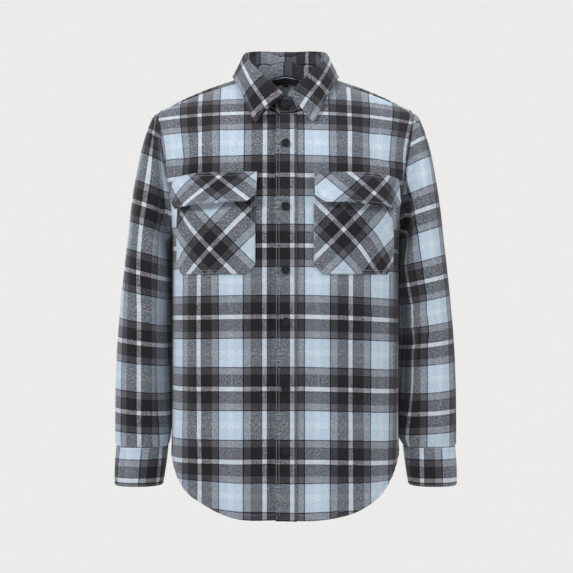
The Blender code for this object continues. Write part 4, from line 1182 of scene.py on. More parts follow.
def cloth(name, outer, normals, chart, closed=False, thickness=WALL, look="plaid_flannel",
          slot="flannel"):
    """A thin shell of cloth: its outer side, its inner side and a rounded rim between them."""
    across, along = outer.shape[:2]
    inner = outer - normals * thickness
    half = across * along
    i, j = np.meshgrid(np.arange(across if closed else across - 1), np.arange(along - 1),
                       indexing="ij")
    corners = ((0, 0), (1, 0), (1, 1), (0, 1))
    spot = np.stack([joined(i + a, j + b) for a, b in corners], -2).reshape(-1, 4, 2)
    face = spot[..., 0] % across * along + spot[..., 1]
    faces = [face, face[:, ::-1] + half]
    places = [spot, spot[:, ::-1]]
    points = [outer.reshape(-1, 3), inner.reshape(-1, 3)]
    columns = np.arange(across + 1 if closed else across)
    head = joined(columns, 0 * columns)
    foot = joined(columns, 0 * columns + along - 1)[::-1]
    rims = [head, foot]
    if not closed:
        rows = np.arange(1, along - 1)
        side = joined(0 * rows + across - 1, rows)
        back = joined(0 * rows, rows)[::-1]
        rims = [np.concatenate([head, side, foot, back, head[:1]])]
    low, high = (0, across - 1) if closed else (1, across - 2)
    count = 2 * half
    for rim in rims:
        place = rim[:-1]
        a, b = place[:, 0] % across, place[:, 1]
        out = unit(outer[a, b] - outer[np.clip(a, low, high), np.clip(b, 1, along - 2)])
        points.append((outer[a, b] + inner[a, b]) / 2 + out * thickness * RIM_SWELL)
        here = np.arange(len(place))
        there = (here + 1) % len(place)
        top = a * along + b
        middle, middle_next = count + here, count + there
        faces.append(joined(top[there], top, middle, middle_next))
        faces.append(joined(middle_next, middle, top + half, top[there] + half))
        pair = np.stack([rim[1:], place, place, rim[1:]], 1)
        places += [pair, pair]
        count += len(place)
    places = np.concatenate(places).reshape(-1, 2)
    charts = chart[places[:, 0] % len(chart), places[:, 1]]
    piece = mesh_of(name + "_cloth", np.concatenate(points), np.concatenate(faces), charts, look)
    made[name] = (outer, unit(normals))
    return seated(piece, slot, name)


def pulled_in(grid, closed=False):
    """The grid with its outline drawn in by half a seam gap."""
    found = grid.copy()
    pairs = [(np.s_[:, 0], np.s_[:, 1]), (np.s_[:, -1], np.s_[:, -2])]
    if not closed:
        pairs += [(np.s_[0], np.s_[1]), (np.s_[-1], np.s_[-2])]
    for edge, inner in pairs:
        found[edge] += SEAM_GAP / 2 * unit(grid[inner] - grid[edge])
    return found


# ---- materials ----
# Where white, a line, charcoal, a line, grey, a line and blue end, of half a repeat.
WARP_BOUNDS = (0.0640, 0.0930, 0.3900, 0.4020, 0.6009, 0.6350, 0.9140)
WEFT_BOUNDS = (0.0600, 0.0880, 0.3840, 0.3950, 0.5753, 0.6080, 0.9150)
TWILL_PITCH = 0.0030
THREAD_MIX = (0.70, 0.62, 0.60)  # powers at which red, green and blue blend: dark threads win
YARNS = ("white", "line", "charcoal", "line", "grey", "line", "blue", "pale_blue")
YARN_STREAKS = ((560.0, 270.0), (270.0, 560.0))  # streaks in a metre, across and down the cloth
FIBRE = (0.72, 0.75, 0.78, 1.0)
WEFT_SHARE, TWILL_SWING = 0.51, 0.30  # how much weft shows, and how the twill's ribs swing that
STREAK_SWING, STREAK_SHADE = 2.0, 0.65  # how the yarns' streaks swing it, and shade each thread
BLOTCH_SCALE, BLOTCH_SHADE = 28.0, 0.16  # broad uneven shades of the brushed cloth
DISPLAY_POWER = 2.2  # between a colour as it is seen and its light
RIB_PITCH = 0.0009  # of the neck label's tape


def fill(tree, inputs, values):
    """Gives a node's inputs their values or links, by place or by name."""
    for key, value in values.items() if isinstance(values, dict) else enumerate(values):
        if isinstance(value, bpy.types.NodeSocket):
            tree.links.new(value, inputs[key])
        elif value is not None:
            inputs[key].default_value = value


def add(tree, kind, inputs=(), **settings):
    """A new node of a tree, with its settings and its inputs."""
    node = tree.nodes.new("ShaderNode" + kind)
    for name, value in settings.items():
        setattr(node, name, value)
    fill(tree, node.inputs, inputs)
    return node


def calc(tree, operation, *inputs):
    return add(tree, "Math", inputs, operation=operation).outputs[0]


def swung(tree, value, swing, middle):
    """`middle`, swinging up and down with a value about one half."""
    return calc(tree, "MULTIPLY_ADD", calc(tree, "SUBTRACT", value, 0.5), swing, middle)


def mixed(tree, share, first, second, blend="MIX"):
    inputs = {0: share, 6: first, 7: second}
    return add(tree, "Mix", inputs, data_type="RGBA", blend_type=blend).outputs[2]


def shaded(tree, colour, shade):
    """A colour made lighter or darker by a value about one."""
    grey = add(tree, "CombineColor", [shade, shade, shade]).outputs[0]
    return mixed(tree, 1.0, colour, grey, "MULTIPLY")


def noise(tree, spot, scale, detail, rough):
    return add(tree, "TexNoise", [spot, None, scale, detail, rough]).outputs[0]


def cloud(tree, scale, detail=2.0, rough=0.5):
    """Noise over a piece in its own space."""
    return noise(tree, add(tree, "TexCoord").outputs["Object"], scale, detail, rough)


def bumped(tree, height, strength, distance):
    inputs = {"Strength": strength, "Distance": distance, "Height": height}
    return add(tree, "Bump", inputs).outputs[0]


def opaque(colour, share=1.0):
    return (*(share * channel for channel in colour), 1.0)


def stripes(tree, place, repeat, bounds):
    """The colour of a thread across a plaid that is alike on both sides of its white stripe."""
    turned = calc(tree, "FRACT", calc(tree, "ADD", calc(tree, "DIVIDE", place, repeat), 0.5))
    share = calc(tree, "ABSOLUTE", calc(tree, "SUBTRACT", turned, 0.5))
    ramp = add(tree, "ValToRGB", [calc(tree, "MULTIPLY", share, 2.0)])
    ramp.color_ramp.interpolation = "CONSTANT"
    elements = ramp.color_ramp.elements
    while len(elements) < len(YARNS):
        elements.new(0.5)
    for element, bound, yarn in zip(elements, (0.0, *bounds), YARNS):
        colour = getattr(bpy.context.scene.shirt_cloth, yarn)
        element.position = bound
        element.color = (*(value ** power for value, power in zip(colour, THREAD_MIX)), 1.0)
    return ramp.outputs[0]


def grain_group():
    """Fine yarn: soft streaks along the warp and the weft, and the ribs of the twill."""
    tree = bpy.data.node_groups.new("yarn_grain", "ShaderNodeTree")
    sockets = {"INPUT": ("Across", "Down", "Pitch"),
               "OUTPUT": ("Warp Streak", "Weft Streak", "Twill", "Height")}
    for way, labels in sockets.items():
        for label in labels:
            tree.interface.new_socket(name=label, in_out=way, socket_type="NodeSocketFloat")
    given = tree.nodes.new("NodeGroupInput").outputs
    result = tree.nodes.new("NodeGroupOutput").inputs
    streaks = []
    for across, down in YARN_STREAKS:
        parts = [calc(tree, "MULTIPLY", given[way], often)
                 for way, often in (("Across", across), ("Down", down))]
        spot = add(tree, "CombineXYZ", parts)
        streaks.append(noise(tree, spot.outputs[0], 1.0, 4.0, 0.85))
    slant = calc(tree, "ADD", given["Across"], given["Down"])
    turn = calc(tree, "MULTIPLY", calc(tree, "DIVIDE", slant, given["Pitch"]), 2 * math.pi)
    twill = calc(tree, "MULTIPLY_ADD", calc(tree, "SINE", turn), 0.5, 0.5)
    height = calc(tree, "MULTIPLY_ADD", twill, 0.35, calc(tree, "ADD", *streaks))
    fill(tree, result, [*streaks, twill, height])
    return tree


def yarns(tree, pitch):
    """Places on a cloth, and the grain of its yarns."""
    place = add(tree, "UVMap", uv_map="cloth").outputs[0]
    parts = add(tree, "SeparateXYZ", [place]).outputs
    values = {"Across": parts[0], "Down": parts[1], "Pitch": pitch}
    group = bpy.data.node_groups.get("yarn_grain") or grain_group()
    return parts, add(tree, "Group", values, node_tree=group).outputs


def plaid(tree, parts, grain):
    """The plaid: warp and weft stripes shown through each other in a twill."""
    settings = bpy.context.scene.shirt_cloth
    warp = stripes(tree, parts[0], settings.warp_repeat, WARP_BOUNDS)
    weft = stripes(tree, parts[1], settings.weft_repeat, WEFT_BOUNDS)
    streaks = grain["Warp Streak"], grain["Weft Streak"]
    threads = [shaded(tree, colour, swung(tree, streak, STREAK_SHADE, 1.0))
               for colour, streak in zip((warp, weft), streaks)]
    lean = swung(tree, grain["Twill"], TWILL_SWING, WEFT_SHARE)
    share = calc(tree, "MULTIPLY_ADD", calc(tree, "SUBTRACT", *streaks), STREAK_SWING, lean)
    fuzz = calc(tree, "MULTIPLY", streaks[0], settings.nap)
    napped = mixed(tree, fuzz, mixed(tree, share, *threads), FIBRE)
    channels = add(tree, "SeparateColor", [napped]).outputs
    powers = [calc(tree, "POWER", channel, DISPLAY_POWER / power)
              for channel, power in zip(channels, THREAD_MIX)]
    return add(tree, "CombineColor", powers).outputs[0]


def flannel(tree):
    """Brushed cotton plaid flannel."""
    parts, grain = yarns(tree, TWILL_PITCH)
    blotch = swung(tree, cloud(tree, BLOTCH_SCALE, 3.0), BLOTCH_SHADE, 1.0)
    return {"Base Color": shaded(tree, plaid(tree, parts, grain), blotch),
            "Roughness": calc(tree, "MULTIPLY_ADD", grain["Height"], 0.08, 0.84),
            "Normal": bumped(tree, grain["Height"], 0.55, 0.0006),
            "Specular IOR Level": 0.18, "Sheen Weight": 0.22, "Sheen Roughness": 0.55,
            "Sheen Tint": (0.94, 0.95, 1.0, 1.0)}


def thread(tree):
    """Grey polyester sewing thread."""
    base = bpy.context.scene.shirt_trim.thread_colour
    twist = cloud(tree, 900.0)
    return {"Base Color": mixed(tree, twist, opaque(base, 0.72), opaque(base)),
            "Roughness": calc(tree, "MULTIPLY_ADD", twist, 0.2, 0.5)}


def button_resin(tree):
    """Matt near-black resin with a faint cloudy grain."""
    base = bpy.context.scene.shirt_trim.button_colour
    grain = cloud(tree, 160.0, 4.0, 0.6)
    return {"Base Color": mixed(tree, grain, opaque(base), opaque(base, 1.7)),
            "Roughness": calc(tree, "MULTIPLY_ADD", grain, 0.20, 0.45),
            "Specular IOR Level": 0.30,
            "Normal": bumped(tree, cloud(tree, 2400.0), 0.25, 0.0001)}


def button_thread(tree):
    """Black thread that holds the buttons."""
    dark, light = opaque((0.020, 0.020, 0.022)), opaque((0.055, 0.055, 0.060))
    return {"Base Color": mixed(tree, cloud(tree, 1500.0), dark, light), "Roughness": 0.6}


def label_tape(tree):
    """Black woven tape with fine ribs."""
    base = bpy.context.scene.shirt_trim.label_colour
    _, grain = yarns(tree, RIB_PITCH)
    return {"Base Color": mixed(tree, grain["Twill"], opaque(base), opaque(base, 2.2)),
            "Roughness": calc(tree, "MULTIPLY_ADD", grain["Weft Streak"], 0.3, 0.55),
            "Normal": bumped(tree, grain["Height"], 0.5, 0.0003)}


def floor_paint(tree):
    """Pale matt paint that stays as light as the backdrop."""
    base = bpy.context.scene.shirt_stage.backdrop
    return {"Base Color": mixed(tree, cloud(tree, 3.0, 3.0), opaque(base, 0.26), opaque(base, 0.30)),
            "Roughness": 0.9, "Specular IOR Level": 0.0,
            "Emission Color": opaque(base), "Emission Strength": 0.80}


FINISHES = {
    "plaid_flannel": flannel,
    "sewing_thread": thread,
    "button_resin": button_resin,
    "button_thread": button_thread,
    "label_tape": label_tape,
    "floor_paint": floor_paint,
}


def finish(name):
    """A material by name, made the first time that it is asked for."""
    material = bpy.data.materials.get(name)
    if material is None:
        material = bpy.data.materials.new(name)
        material.use_nodes = True
        tree = material.node_tree
        fill(tree, tree.nodes["Principled BSDF"].inputs, FINISHES[name](tree))
    return material


# ---- the shirt's pieces ----
@functools.lru_cache(maxsize=None)
def body_grids():
    """Grids of the fronts, back, yoke and sleeves, and the directions that they share."""
    half_back = back_grid()
    half_yoke = yoke_grid()
    sleeve = sleeve_grid()
    grids = {
        "front_left": (front_grid(FRONT_EDGE), False),
        "front_right": (mirrored(front_grid(-FRONT_EDGE)), False),
        "back": (np.concatenate([half_back[:0:-1], mirrored(half_back)[::-1]]), False),
        "yoke": (np.concatenate([half_yoke, mirrored(half_yoke)[::-1][:, ::-1][:, 1:]], 1), False),
        "sleeve_left": (sleeve[::-1], True),
        "sleeve_right": (mirrored(sleeve[::-1]), True),
    }
    return grids, shared_normals(grids)


def body_piece(name, relief, chart):
    """A piece of the body: its wall moved out by its relief."""
    grids, normals = body_grids()
    grid, closed = grids[name]
    outer = pulled_in(grid, closed) + normals[name] * relief[..., None]
    return cloth(name, outer, normals[name], chart, closed)


PANELS = {  # columns: creases, white warp stripe; where the puckers of the first and the last side,
    # of the top and of the hem start
    "front_left": ("front", LEFT_WHITE, None, 1.0, 2.0, 0.5),
    "front_right": ("front", RIGHT_WHITE, 1.0, None, 2.0, 0.5),
    "back": ("back", WARP_REPEAT / 2, 1.0, 3.0, 4.0, 1.5),
}


def panel(name):
    """A front or the back."""
    where, white, first, last, top, hem = PANELS[name]
    grid = body_grids()[0][name][0]
    d_start, d_end, d_hem, d_top = edge_distances(grid)
    sides = [pair for pair in ((d_start, first), (d_end, last)) if pair[1] is not None]
    d_side = nearest(*(distance for distance, _ in sides))
    relief = body_relief(grid, where) * eased(d_top, SEAM_START, SEAM_CLEAR)
    relief += groove(d_top, "seam") + SIDE_SEAM * groove(d_side, "seam") + body_swell(grid, d_side)
    relief += puckers(d_top, d_start, top) + hem_relief(d_hem, d_start, hem)
    for distance, phase in sides:
        relief += puckers(distance, d_hem, phase)
    return body_piece(name, relief, body_chart(grid, white))


def yoke():
    grid = body_grids()[0]["yoke"][0]
    d_neck, d_outer, d_first, d_last = edge_distances(grid)
    ends = nearest(d_first, d_last)
    relief = groove(d_neck, "seam") + groove(d_outer, "seam") + groove(ends, "seam")
    relief += puckers(d_outer, d_first, 2.5) + puckers(ends, d_neck, 5.0)
    return body_piece("yoke", relief, yoke_chart(grid))


def sleeve(side):
    grid = body_grids()[0]["sleeve_left"][0][::-1]
    chart = sleeve_chart(grid, side)
    run, _, d_top, d_foot = edge_distances(grid)
    relief = sleeve_relief(grid, side)
    relief = relief * eased(d_top, SEAM_START, SEAM_CLEAR) * eased(d_foot, SIDE_START, SLEEVE_FOOT)
    relief += groove(d_top, "seam") + groove(d_foot, "seam")
    relief += puckers(d_top, run, 0.7) + GATHER * puckers(d_foot, run, 2.2, GATHER_PITCH)
    if side == "left":
        across = chart[0, :, 0] - chart[-1, :, 0] + chart[-2, :, 0]
        seam_column = joined(across, chart[-2, :, 1])
        chart = np.concatenate([chart[-2::-1], seam_column[None]])
        relief = relief[::-1]
    return body_piece(f"sleeve_{side}", relief, chart)


def sleeve_relief(grid, side):
    """Height of the sleeve's creases, placed by distance outwards and by level."""
    x, y, z = grid[..., 0], grid[..., 1], grid[..., 2]
    deep = y - y.mean(axis=0)
    deep = deep / np.abs(deep).max(axis=0)
    front_table, back_table = SLEEVE_CREASES[side]
    folds = creased(x, z, front_table) * eased(-deep, *FRONT_SIDE)
    folds = folds + creased(x, z, back_table) * eased(deep, *BACK_SIDE)
    depth = bpy.context.scene.shirt_cloth.crease_depth
    swell = SLEEVE_SWELL[side] * side_swell(z) * eased(x.min(axis=0) - x, *SWELL_SIDE)
    return depth * eased(x, *INNER_SIDE) * folds + swell


def banded(name, base, relief, chart):
    """A piece that takes its directions from its own faces: a cuff, or a part of the collar."""
    normals = own_normals(base)
    return cloth(name, pulled_in(base) + normals * relief[..., None], normals, chart)


def cuff(side):
    base = cuff_grid()
    chart = cuff_chart(base, side)[::-1]
    base = base[::-1]
    if side == "right":
        base, chart = mirrored(base), chart[::-1]
    d_start, d_end, d_top, d_foot = edge_distances(base)
    relief = groove(d_foot, "cuff") + groove(d_top, "narrow") + groove(d_foot, "cuff_turn")
    relief += CUFF_WAVE * roped(d_start, CUFF_PITCH, 1.0, 0.43) * np.exp(-d_top / CUFF_REACH)
    relief += CUFF_PUFF * np.sin(np.pi * d_foot / (d_foot + d_top))
    relief *= eased(nearest(d_start, d_end), *CUFF_FADE)
    return banded(f"cuff_{side}", base, relief, chart)


def sleeve_at(angle, rise):
    """Points of the sleeve by angle and by table row, counted upwards as negative numbers."""
    return tube_point(rows_at(SLEEVE, -rise), angle)


def slit_placket(side):
    last = len(SLEEVE) - 1
    share = line(0, 1, SLIT_COUNT)[None]
    rise = SLIT_FOOT - last + share * (SLIT_ROWS - SLIT_FOOT)
    half = np.degrees(SLIT_WIDTH / 2 / rows_at(SLEEVE, -rise)[..., 5])
    narrow = np.interp(share, SLIT_SHARES, [1, 1, SLIT_POINT])
    across = line(-1, 1, SLIT_COLUMNS)[:, None]
    angle = CUFF_START + CUFF_OVERLAP / 2 + across * half * narrow
    grid, normal = moved_out(sleeve_at, angle, rise + 0 * across, np.full(angle.shape, LAY_GAP + WALL))
    d_start, d_end, d_foot, d_top = edge_distances(grid)
    relief = groove(nearest(d_start, d_end, d_top), "slit")
    chart = joined(d_start + SLIT_PLACE[0], SLIT_PLACE[1] - d_foot)
    outer = grid + normal * relief[..., None]
    if side == "right":
        outer, normal, chart = mirrored(outer), mirrored(normal), chart[::-1]
    return cloth(f"slit_placket_{side}", outer, normal, chart)


def laid_on_front(x, z, offset, relief):
    """A grid laid on a front, which follows the front's own creases, and its directions."""
    grid, normal = moved_out(front_at, x, z, np.zeros(x.shape))
    height = offset + WALL + body_relief(grid) + relief
    return grid + normal * height[..., None], normal, grid


def placket():
    x = line(PLACKET_LEFT, PLACKET_RIGHT, PLACKET_COLUMNS)[:, None]
    top = upper(*neckline([0.0])[0])[2] - SEAM_GAP
    x, z = np.broadcast_arrays(x, line(HEM_Z - LAY_GAP, top, PLACKET_ROWS)[None])
    d_free, d_seam = x - PLACKET_LEFT, PLACKET_RIGHT - x
    relief = groove(d_free, "placket") + groove(d_seam, "placket")
    relief = relief + PLACKET_LIFT * eased(-d_free, -LIFT_REACH, 0.0) + hem_relief(z - z.min(), x, 0.3)
    waves = roped(z, PLACKET_PITCH, 1.1, 0.41) * np.exp(-d_free / PLACKET_REACH)
    waves = waves + roped(z * 1.2, PLACKET_PITCH, 0.0, 0.0, 2.0) * np.exp(-d_seam / PLACKET_REACH)
    relief = relief + PLACKET_WAVE * waves
    for level in BUTTON_Z:
        relief = relief - DENT * np.exp(-((x / DENT_ACROSS) ** 2 + ((z - level) / DENT_UP) ** 2))
    outer, normal, base = laid_on_front(x, z, LAY_GAP, relief)
    across = x - PLACKET_WHITE
    across = across + PLACKET_MORE * np.maximum(-PLACKET_DARK - across, 0)
    return cloth("front_placket", outer, normal, joined(across, down_body(base)))


def collar_stand():
    base = stand_grid()[::-1]
    d_start, d_end, d_foot, _ = edge_distances(base)
    relief = groove(d_foot, "narrow") + COLLAR_PUCKER * puckers(d_foot, d_start, 1.2)
    relief *= eased(nearest(d_start, d_end), SEAM_START, STAND_FADE)
    return banded("collar_stand", base, relief, stand_chart(base[::-1])[::-1])


def rounded_tips(grid):
    """Fractional places in the leaf's grid that round its two front points."""
    d_start, d_end, _, d_edge = edge_distances(grid)
    i, j = np.indices(grid.shape[:2]).astype(float)
    for distance, sign in ((d_start, 1), (d_end, -1)):
        p = np.clip(1 - distance / COLLAR_TIP, 0, 1)
        q = np.clip(1 - d_edge / COLLAR_TIP, 0, 1)
        step_a = (p - p * np.sqrt(1 - q * q / 2)) * COLLAR_TIP
        step_b = (q - q * np.sqrt(1 - p * p / 2)) * COLLAR_TIP
        i += sign * step_a / np.maximum(np.abs(np.gradient(distance, axis=0)), 1e-5)
        j -= step_b / np.maximum(np.abs(np.gradient(d_edge, axis=1)), 1e-5)
    return i, j


def collar_leaf():
    square = leaf_grid()
    places = rounded_tips(square)
    base, chart = (at_grid(part, *places)[::-1] for part in (square, leaf_chart(square)))
    d_start, d_end, d_joint, d_edge = edge_distances(base)
    edge = nearest(d_start, d_end, d_edge)
    relief = groove(edge, "collar") + COLLAR_PUCKER * puckers(d_edge, d_start, 0.4)
    relief += LEAF_STEP * eased(-edge, -TIP_STITCH, FOLD_RUN - TIP_STITCH)
    relief *= eased(d_joint, *LEAF_FADE)
    return banded("collar_leaf", base, relief, chart)


def patch_x(inner, outer):
    """Places across a front between two edges, evenly spaced along the cloth, and their shares."""
    q = line(share_of(inner / HALF_WIDTH), share_of(outer / HALF_WIDTH), POCKET_COLUMNS)
    return (HALF_WIDTH * across_of(q))[:, None], line(0, 1, POCKET_COLUMNS)[:, None]


def fallen(share, start):
    """How far an edge that is level as far as `start` has fallen at a share of its length."""
    return np.clip(share - start, 0, 1) / (1 - start)


def chamfered(share, chamfer):
    """Rise of a foot whose two corners are cut off over a tenth of its length."""
    return chamfer * np.clip(1 - 10 * np.minimum(share, 1 - share), 0, 1)


def patch(name, flip, x, z, offset, relief, *bias):
    """A bias piece laid on a front; flip is -1 on the wearer's right."""
    outer, normal, base = laid_on_front(flip * (x + 0 * z), z, offset, relief)
    chart = bias_chart(base, *bias)
    return cloth(name, outer[::flip], normal[::flip], chart[::flip])


def pocket(side):
    flip = 1 if side == "left" else -1
    inner, outer = POCKET_EDGES[side]
    x, share = patch_x(inner, outer)
    rise = line(0, 1, POCKET_ROWS)[None]
    z = (POCKET_BOTTOM + chamfered(share, POCKET_CHAMFER)) * (1 - rise) + POCKET_TOP * rise
    wide = outer - inner
    edge = nearest(np.minimum(share, 1 - share) * wide, rise * POCKET_DEEP)
    relief = PUFF * eased(edge, *PUFF_FADE) * (0.6 + 0.4 * np.sin(share * 5.5 + rise * 2.2))
    relief = relief + groove(edge, "pocket")
    relief = relief + puckers(edge, share * wide + rise * POCKET_DEEP, 1.1 + flip) * 0.7
    return patch(f"pocket_{side}", flip, x, z, LAY_GAP, relief,
                 POCKET_CROSSING[side], 1.0, CORNER_PULL[side])


def pocket_flap(side):
    flip = 1 if side == "left" else -1
    x, share = patch_x(FLAP_IN, FLAP_OUT)
    drop = line(1, 0, FLAP_ROWS)[None]
    foot = FLAP_BOTTOM + chamfered(share, FLAP_CHAMFER) - FLAP_OUT_DROP * fallen(share, FLAP_FALL_FOOT)
    head = FLAP_TOP - FLAP_OUT_DROP * fallen(share, FLAP_FALL_TOP)
    z = head * (1 - drop) + foot * drop
    stack = LAY_GAP + (WALL + LAY_GAP) * smooth(drop, [0, FLAP_STEP, 1], [0, 1, 1])
    stand = (read(FLAP_WAVES[side], share) - WALL - 2 * LAY_GAP) * drop ** FLAP_CURL
    puff = PUFF * eased(drop, 0.5, 1.0) * np.sin(np.pi * share)
    wide, deep = FLAP_OUT - FLAP_IN, FLAP_TOP - FLAP_BOTTOM
    edge = nearest(np.minimum(share, 1 - share) * wide, (1 - drop) * deep)
    relief = groove(edge, "flap") + groove(drop * deep, "flap_head")
    relief = relief + FOLD_RISE * eased(-edge, -FLAP_STITCH, -0.0020)
    return patch(f"pocket_flap_{side}", flip, x, z, stack + stand + puff, relief,
                 FLAP_CROSSING[side], FLAP_SHORTENING[side])


def nape_at(x, over):
    return upper(upper_share(x, over), over)


def neck_labels():
    """The bare neck label inside the yoke, and the bare tab under it."""
    top = float(neckline([180.0])[0][1]) + LABEL_DROP
    turn = np.degrees(1 / (ridge_z(0.0) - ARMPIT_Z))
    label_end = top + LABEL_HEIGHT * turn
    tab_top = label_end + TAB_DROP
    pieces = (("neck_label", LABEL_WIDTH, top, label_end, LABEL_COLUMNS),
              ("neck_tab", TAB_WIDTH, tab_top, tab_top + TAB_HEIGHT * turn, TAB_COLUMNS))
    for name, width, start, end, columns in pieces:
        x, over = np.broadcast_arrays(line(-width / 2, width / 2, columns)[:, None],
                                      line(start, end, LABEL_ROWS)[None])
        base, normal = moved_out(nape_at, x, over, np.full(x.shape, -WALL - 2 * LAY_GAP))
        distances = edge_distances(base)
        d_start, _, d_top, _ = distances
        sink = groove(nearest(*distances), "tape")
        sink = sink + LABEL_WAVE * np.sin(x * LABEL_RATE) * eased(d_top, 0.004, 0.020)
        outer = (base - normal * (TRIM_WALL + sink)[..., None])[::-1]
        chart = joined(d_start, d_top)[::-1]
        cloth(name, outer, -normal[::-1], chart, thickness=TRIM_WALL, look="label_tape",
              slot="label_black")


# ---- stitches ----
SIDES = ("first_column", "last_column")
FLAPS = ("pocket_flap_left", "pocket_flap_right")
CUFFS = ("cuff_left", "cuff_right")
POCKETS = ("pocket_left", "pocket_right")
SLITS = ("slit_placket_left", "slit_placket_right")
STITCHES = {  # columns: pieces, their edges, distance in, shares of the edge where the line starts
    # and ends, length left free at both ends
    "placket": (
        (("front_placket",), SIDES, PLACKET_STITCH, 0.01, 0.995, 0.0),
        (("front_placket",), SIDES, PLACKET_EDGE_STITCH, 0.002, 0.998, 0.0),
    ),
    "hem": (
        (("front_left", "front_right", "back"), ("first_row",), HEM_FOLD, 0.003, 0.997, 0.0),
    ),
    "collar": (
        (("collar_leaf",), ("last_row",), TIP_STITCH, 0.0, 1.0, TIP_STITCH),
        (("collar_leaf",), SIDES, TIP_STITCH, 0.32, 0.93, 0.0),
        (("collar_stand",), ("first_row",), NARROW_STITCH, 0.01, 0.99, 0.0),
        (("collar_stand",), ("last_row",), NARROW_STITCH, 0.01, 0.08, 0.0),
        (("collar_stand",), ("last_row",), NARROW_STITCH, 0.92, 0.99, 0.0),
    ),
    "yoke": (
        (("front_left", "front_right"), ("last_row",), NARROW_STITCH, 0.48, 0.995, 0.0),
        (("yoke",), ("last_column",), YOKE_STITCH, 0.15, 0.85, 0.0),
    ),
    "pockets": (
        (POCKETS, (*SIDES, "first_row"), EDGE_STITCH, 0.0, 1.0, 0.002),
        (POCKETS, (*SIDES, "first_row"), POCKET_STITCH, 0.0, 1.0, 0.006),
        (FLAPS, (*SIDES, "first_row"), FLAP_STITCH, 0.0, 1.0, 0.004),
        (FLAPS, ("last_row",), EDGE_STITCH, 0.0, 1.0, 0.002),
        (FLAPS, ("last_row",), FLAP_HEAD_STITCH, 0.0, 1.0, 0.002),
    ),
    "cuffs": (
        (CUFFS, ("first_row",), CUFF_STITCH, 0.01, 0.99, 0.0),
        (CUFFS, ("last_row",), NARROW_STITCH, 0.01, 0.99, 0.0),
        (CUFFS, SIDES, NARROW_STITCH, 0.05, 0.95, 0.0),
    ),
    "armholes": (),  # by armhole_lines, as they start where the seams of the body meet them
    "slits": (
        (SLITS, SIDES, SLIT_STITCH, 0.03, 0.97, 0.0),
    ),
}
ARMHOLES = (  # columns: piece, the edge of it that has the armhole, share where its line ends
    ("front_left", "last_column", 0.995),
    ("front_right", "first_column", 0.995),
    ("back", "first_column", 0.990),
    ("back", "last_column", 0.990),
)
# Shares of an edge left free: above the underarm, at the yoke's back seam and at its front seams.
SEAM_MARGIN, YOKE_MARGIN, YOKE_END = 0.01, 0.004, 0.003
STITCH_SIDES = 5
STITCH_RINGS = ((-0.50, 0.35), (-0.32, 0.95), (0.0, 1.0), (0.32, 0.95), (0.50, 0.35))
STITCH_REACH = 0.0008  # distance along a line over which its direction is taken


def along_edge(name, edge, distance, start=0.0, end=1.0):
    """Points and directions along a piece's edge, at a distance in from it."""
    outer, normals = made[name]
    turned = {
        "first_row": lambda grid: grid,
        "last_row": lambda grid: grid[:, ::-1],
        "first_column": lambda grid: grid.transpose(1, 0, 2),
        "last_column": lambda grid: grid[::-1].transpose(1, 0, 2),
    }[edge]
    outer, normals = turned(outer), turned(normals)
    run = run_along(outer, 1)
    steps = np.arange(outer.shape[1])
    inward = np.array([np.interp(distance, row, steps) for row in run])
    columns = np.arange(len(outer)).astype(float)
    points, facing = at_grid(outer, columns, inward), at_grid(normals, columns, inward)
    along = np.concatenate([[0], np.cumsum(np.linalg.norm(np.diff(points, axis=0), axis=1))])
    kept = (along >= start * along[-1]) & (along <= end * along[-1])
    return points[kept], facing[kept]


def stitched(name, edge, distance, start, end, free=0.0):
    """Middles, directions and normals of the stitches along a piece's edge."""
    points, facing = along_edge(name, edge, distance, start, end)
    trim = bpy.context.scene.shirt_trim
    along = run_along(points, 0)
    places = np.arange(free + trim.stitch_length, along[-1] - free,
                       trim.stitch_length + trim.stitch_gap)

    def at(where, values):
        return np.stack([np.interp(where, along, values[:, k]) for k in range(3)], -1)

    ahead = unit(at(places + STITCH_REACH, points) - at(places - STITCH_REACH, points))
    normal = at(places, facing)
    return at(places, points), ahead, unit(normal - ahead * (normal * ahead).sum(1)[:, None])


def stitch_mesh(name, lines, look):
    """One mesh of all the stitches of some lines: small rounded bars that dip at both ends."""
    trim = bpy.context.scene.shirt_trim
    middles, ahead, normal = (np.concatenate(part) for part in zip(*lines))
    side = np.cross(ahead, normal)
    radius, length = trim.thread_radius, trim.stitch_length
    rings = []
    for share, swell in STITCH_RINGS:
        lift = radius * (0.35 - 1.2 * (2 * share) ** 4)
        centre = middles + ahead * share * length + normal * lift
        for angle in np.arange(STITCH_SIDES) / STITCH_SIDES * 2 * np.pi:
            spoke = side * math.cos(angle) + normal * math.sin(angle)
            rings.append(centre + spoke * radius * swell)
    points = np.stack(rings, 1)
    faces = []
    for low in range(0, len(rings) - STITCH_SIDES, STITCH_SIDES):
        high = low + STITCH_SIDES
        for k in range(STITCH_SIDES):
            n = (k + 1) % STITCH_SIDES
            faces.append((low + k, high + k, high + n, low + n))
    faces = np.array(faces)[None] + (np.arange(len(middles)) * len(rings))[:, None, None]
    piece = mesh_of(name, points.reshape(-1, 3), faces.reshape(-1, 4), None, look)
    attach(piece, "root")
    return piece


def share_to(name, edge, place):
    """Share of a piece's edge that lies before a row or column of its grid."""
    along = run_along(along_edge(name, edge, ARMHOLE_STITCH)[0], 0)
    return float(along[place] / along[-1])


def armhole_lines():
    """The stitches round the armholes, on the fronts, the back and the yoke."""
    lines = []
    for name, edge, end in ARMHOLES:
        start = share_to(name, edge, BODY_ROWS) + SEAM_MARGIN
        lines.append(stitched(name, edge, ARMHOLE_STITCH, start, end))
    tip = share_to("yoke", "last_column", TIP_COLUMNS) - YOKE_MARGIN
    for start, end in ((YOKE_END, tip), (1 - tip, 1 - YOKE_END)):
        lines.append(stitched("yoke", "last_column", ARMHOLE_STITCH, start, end))
    return lines


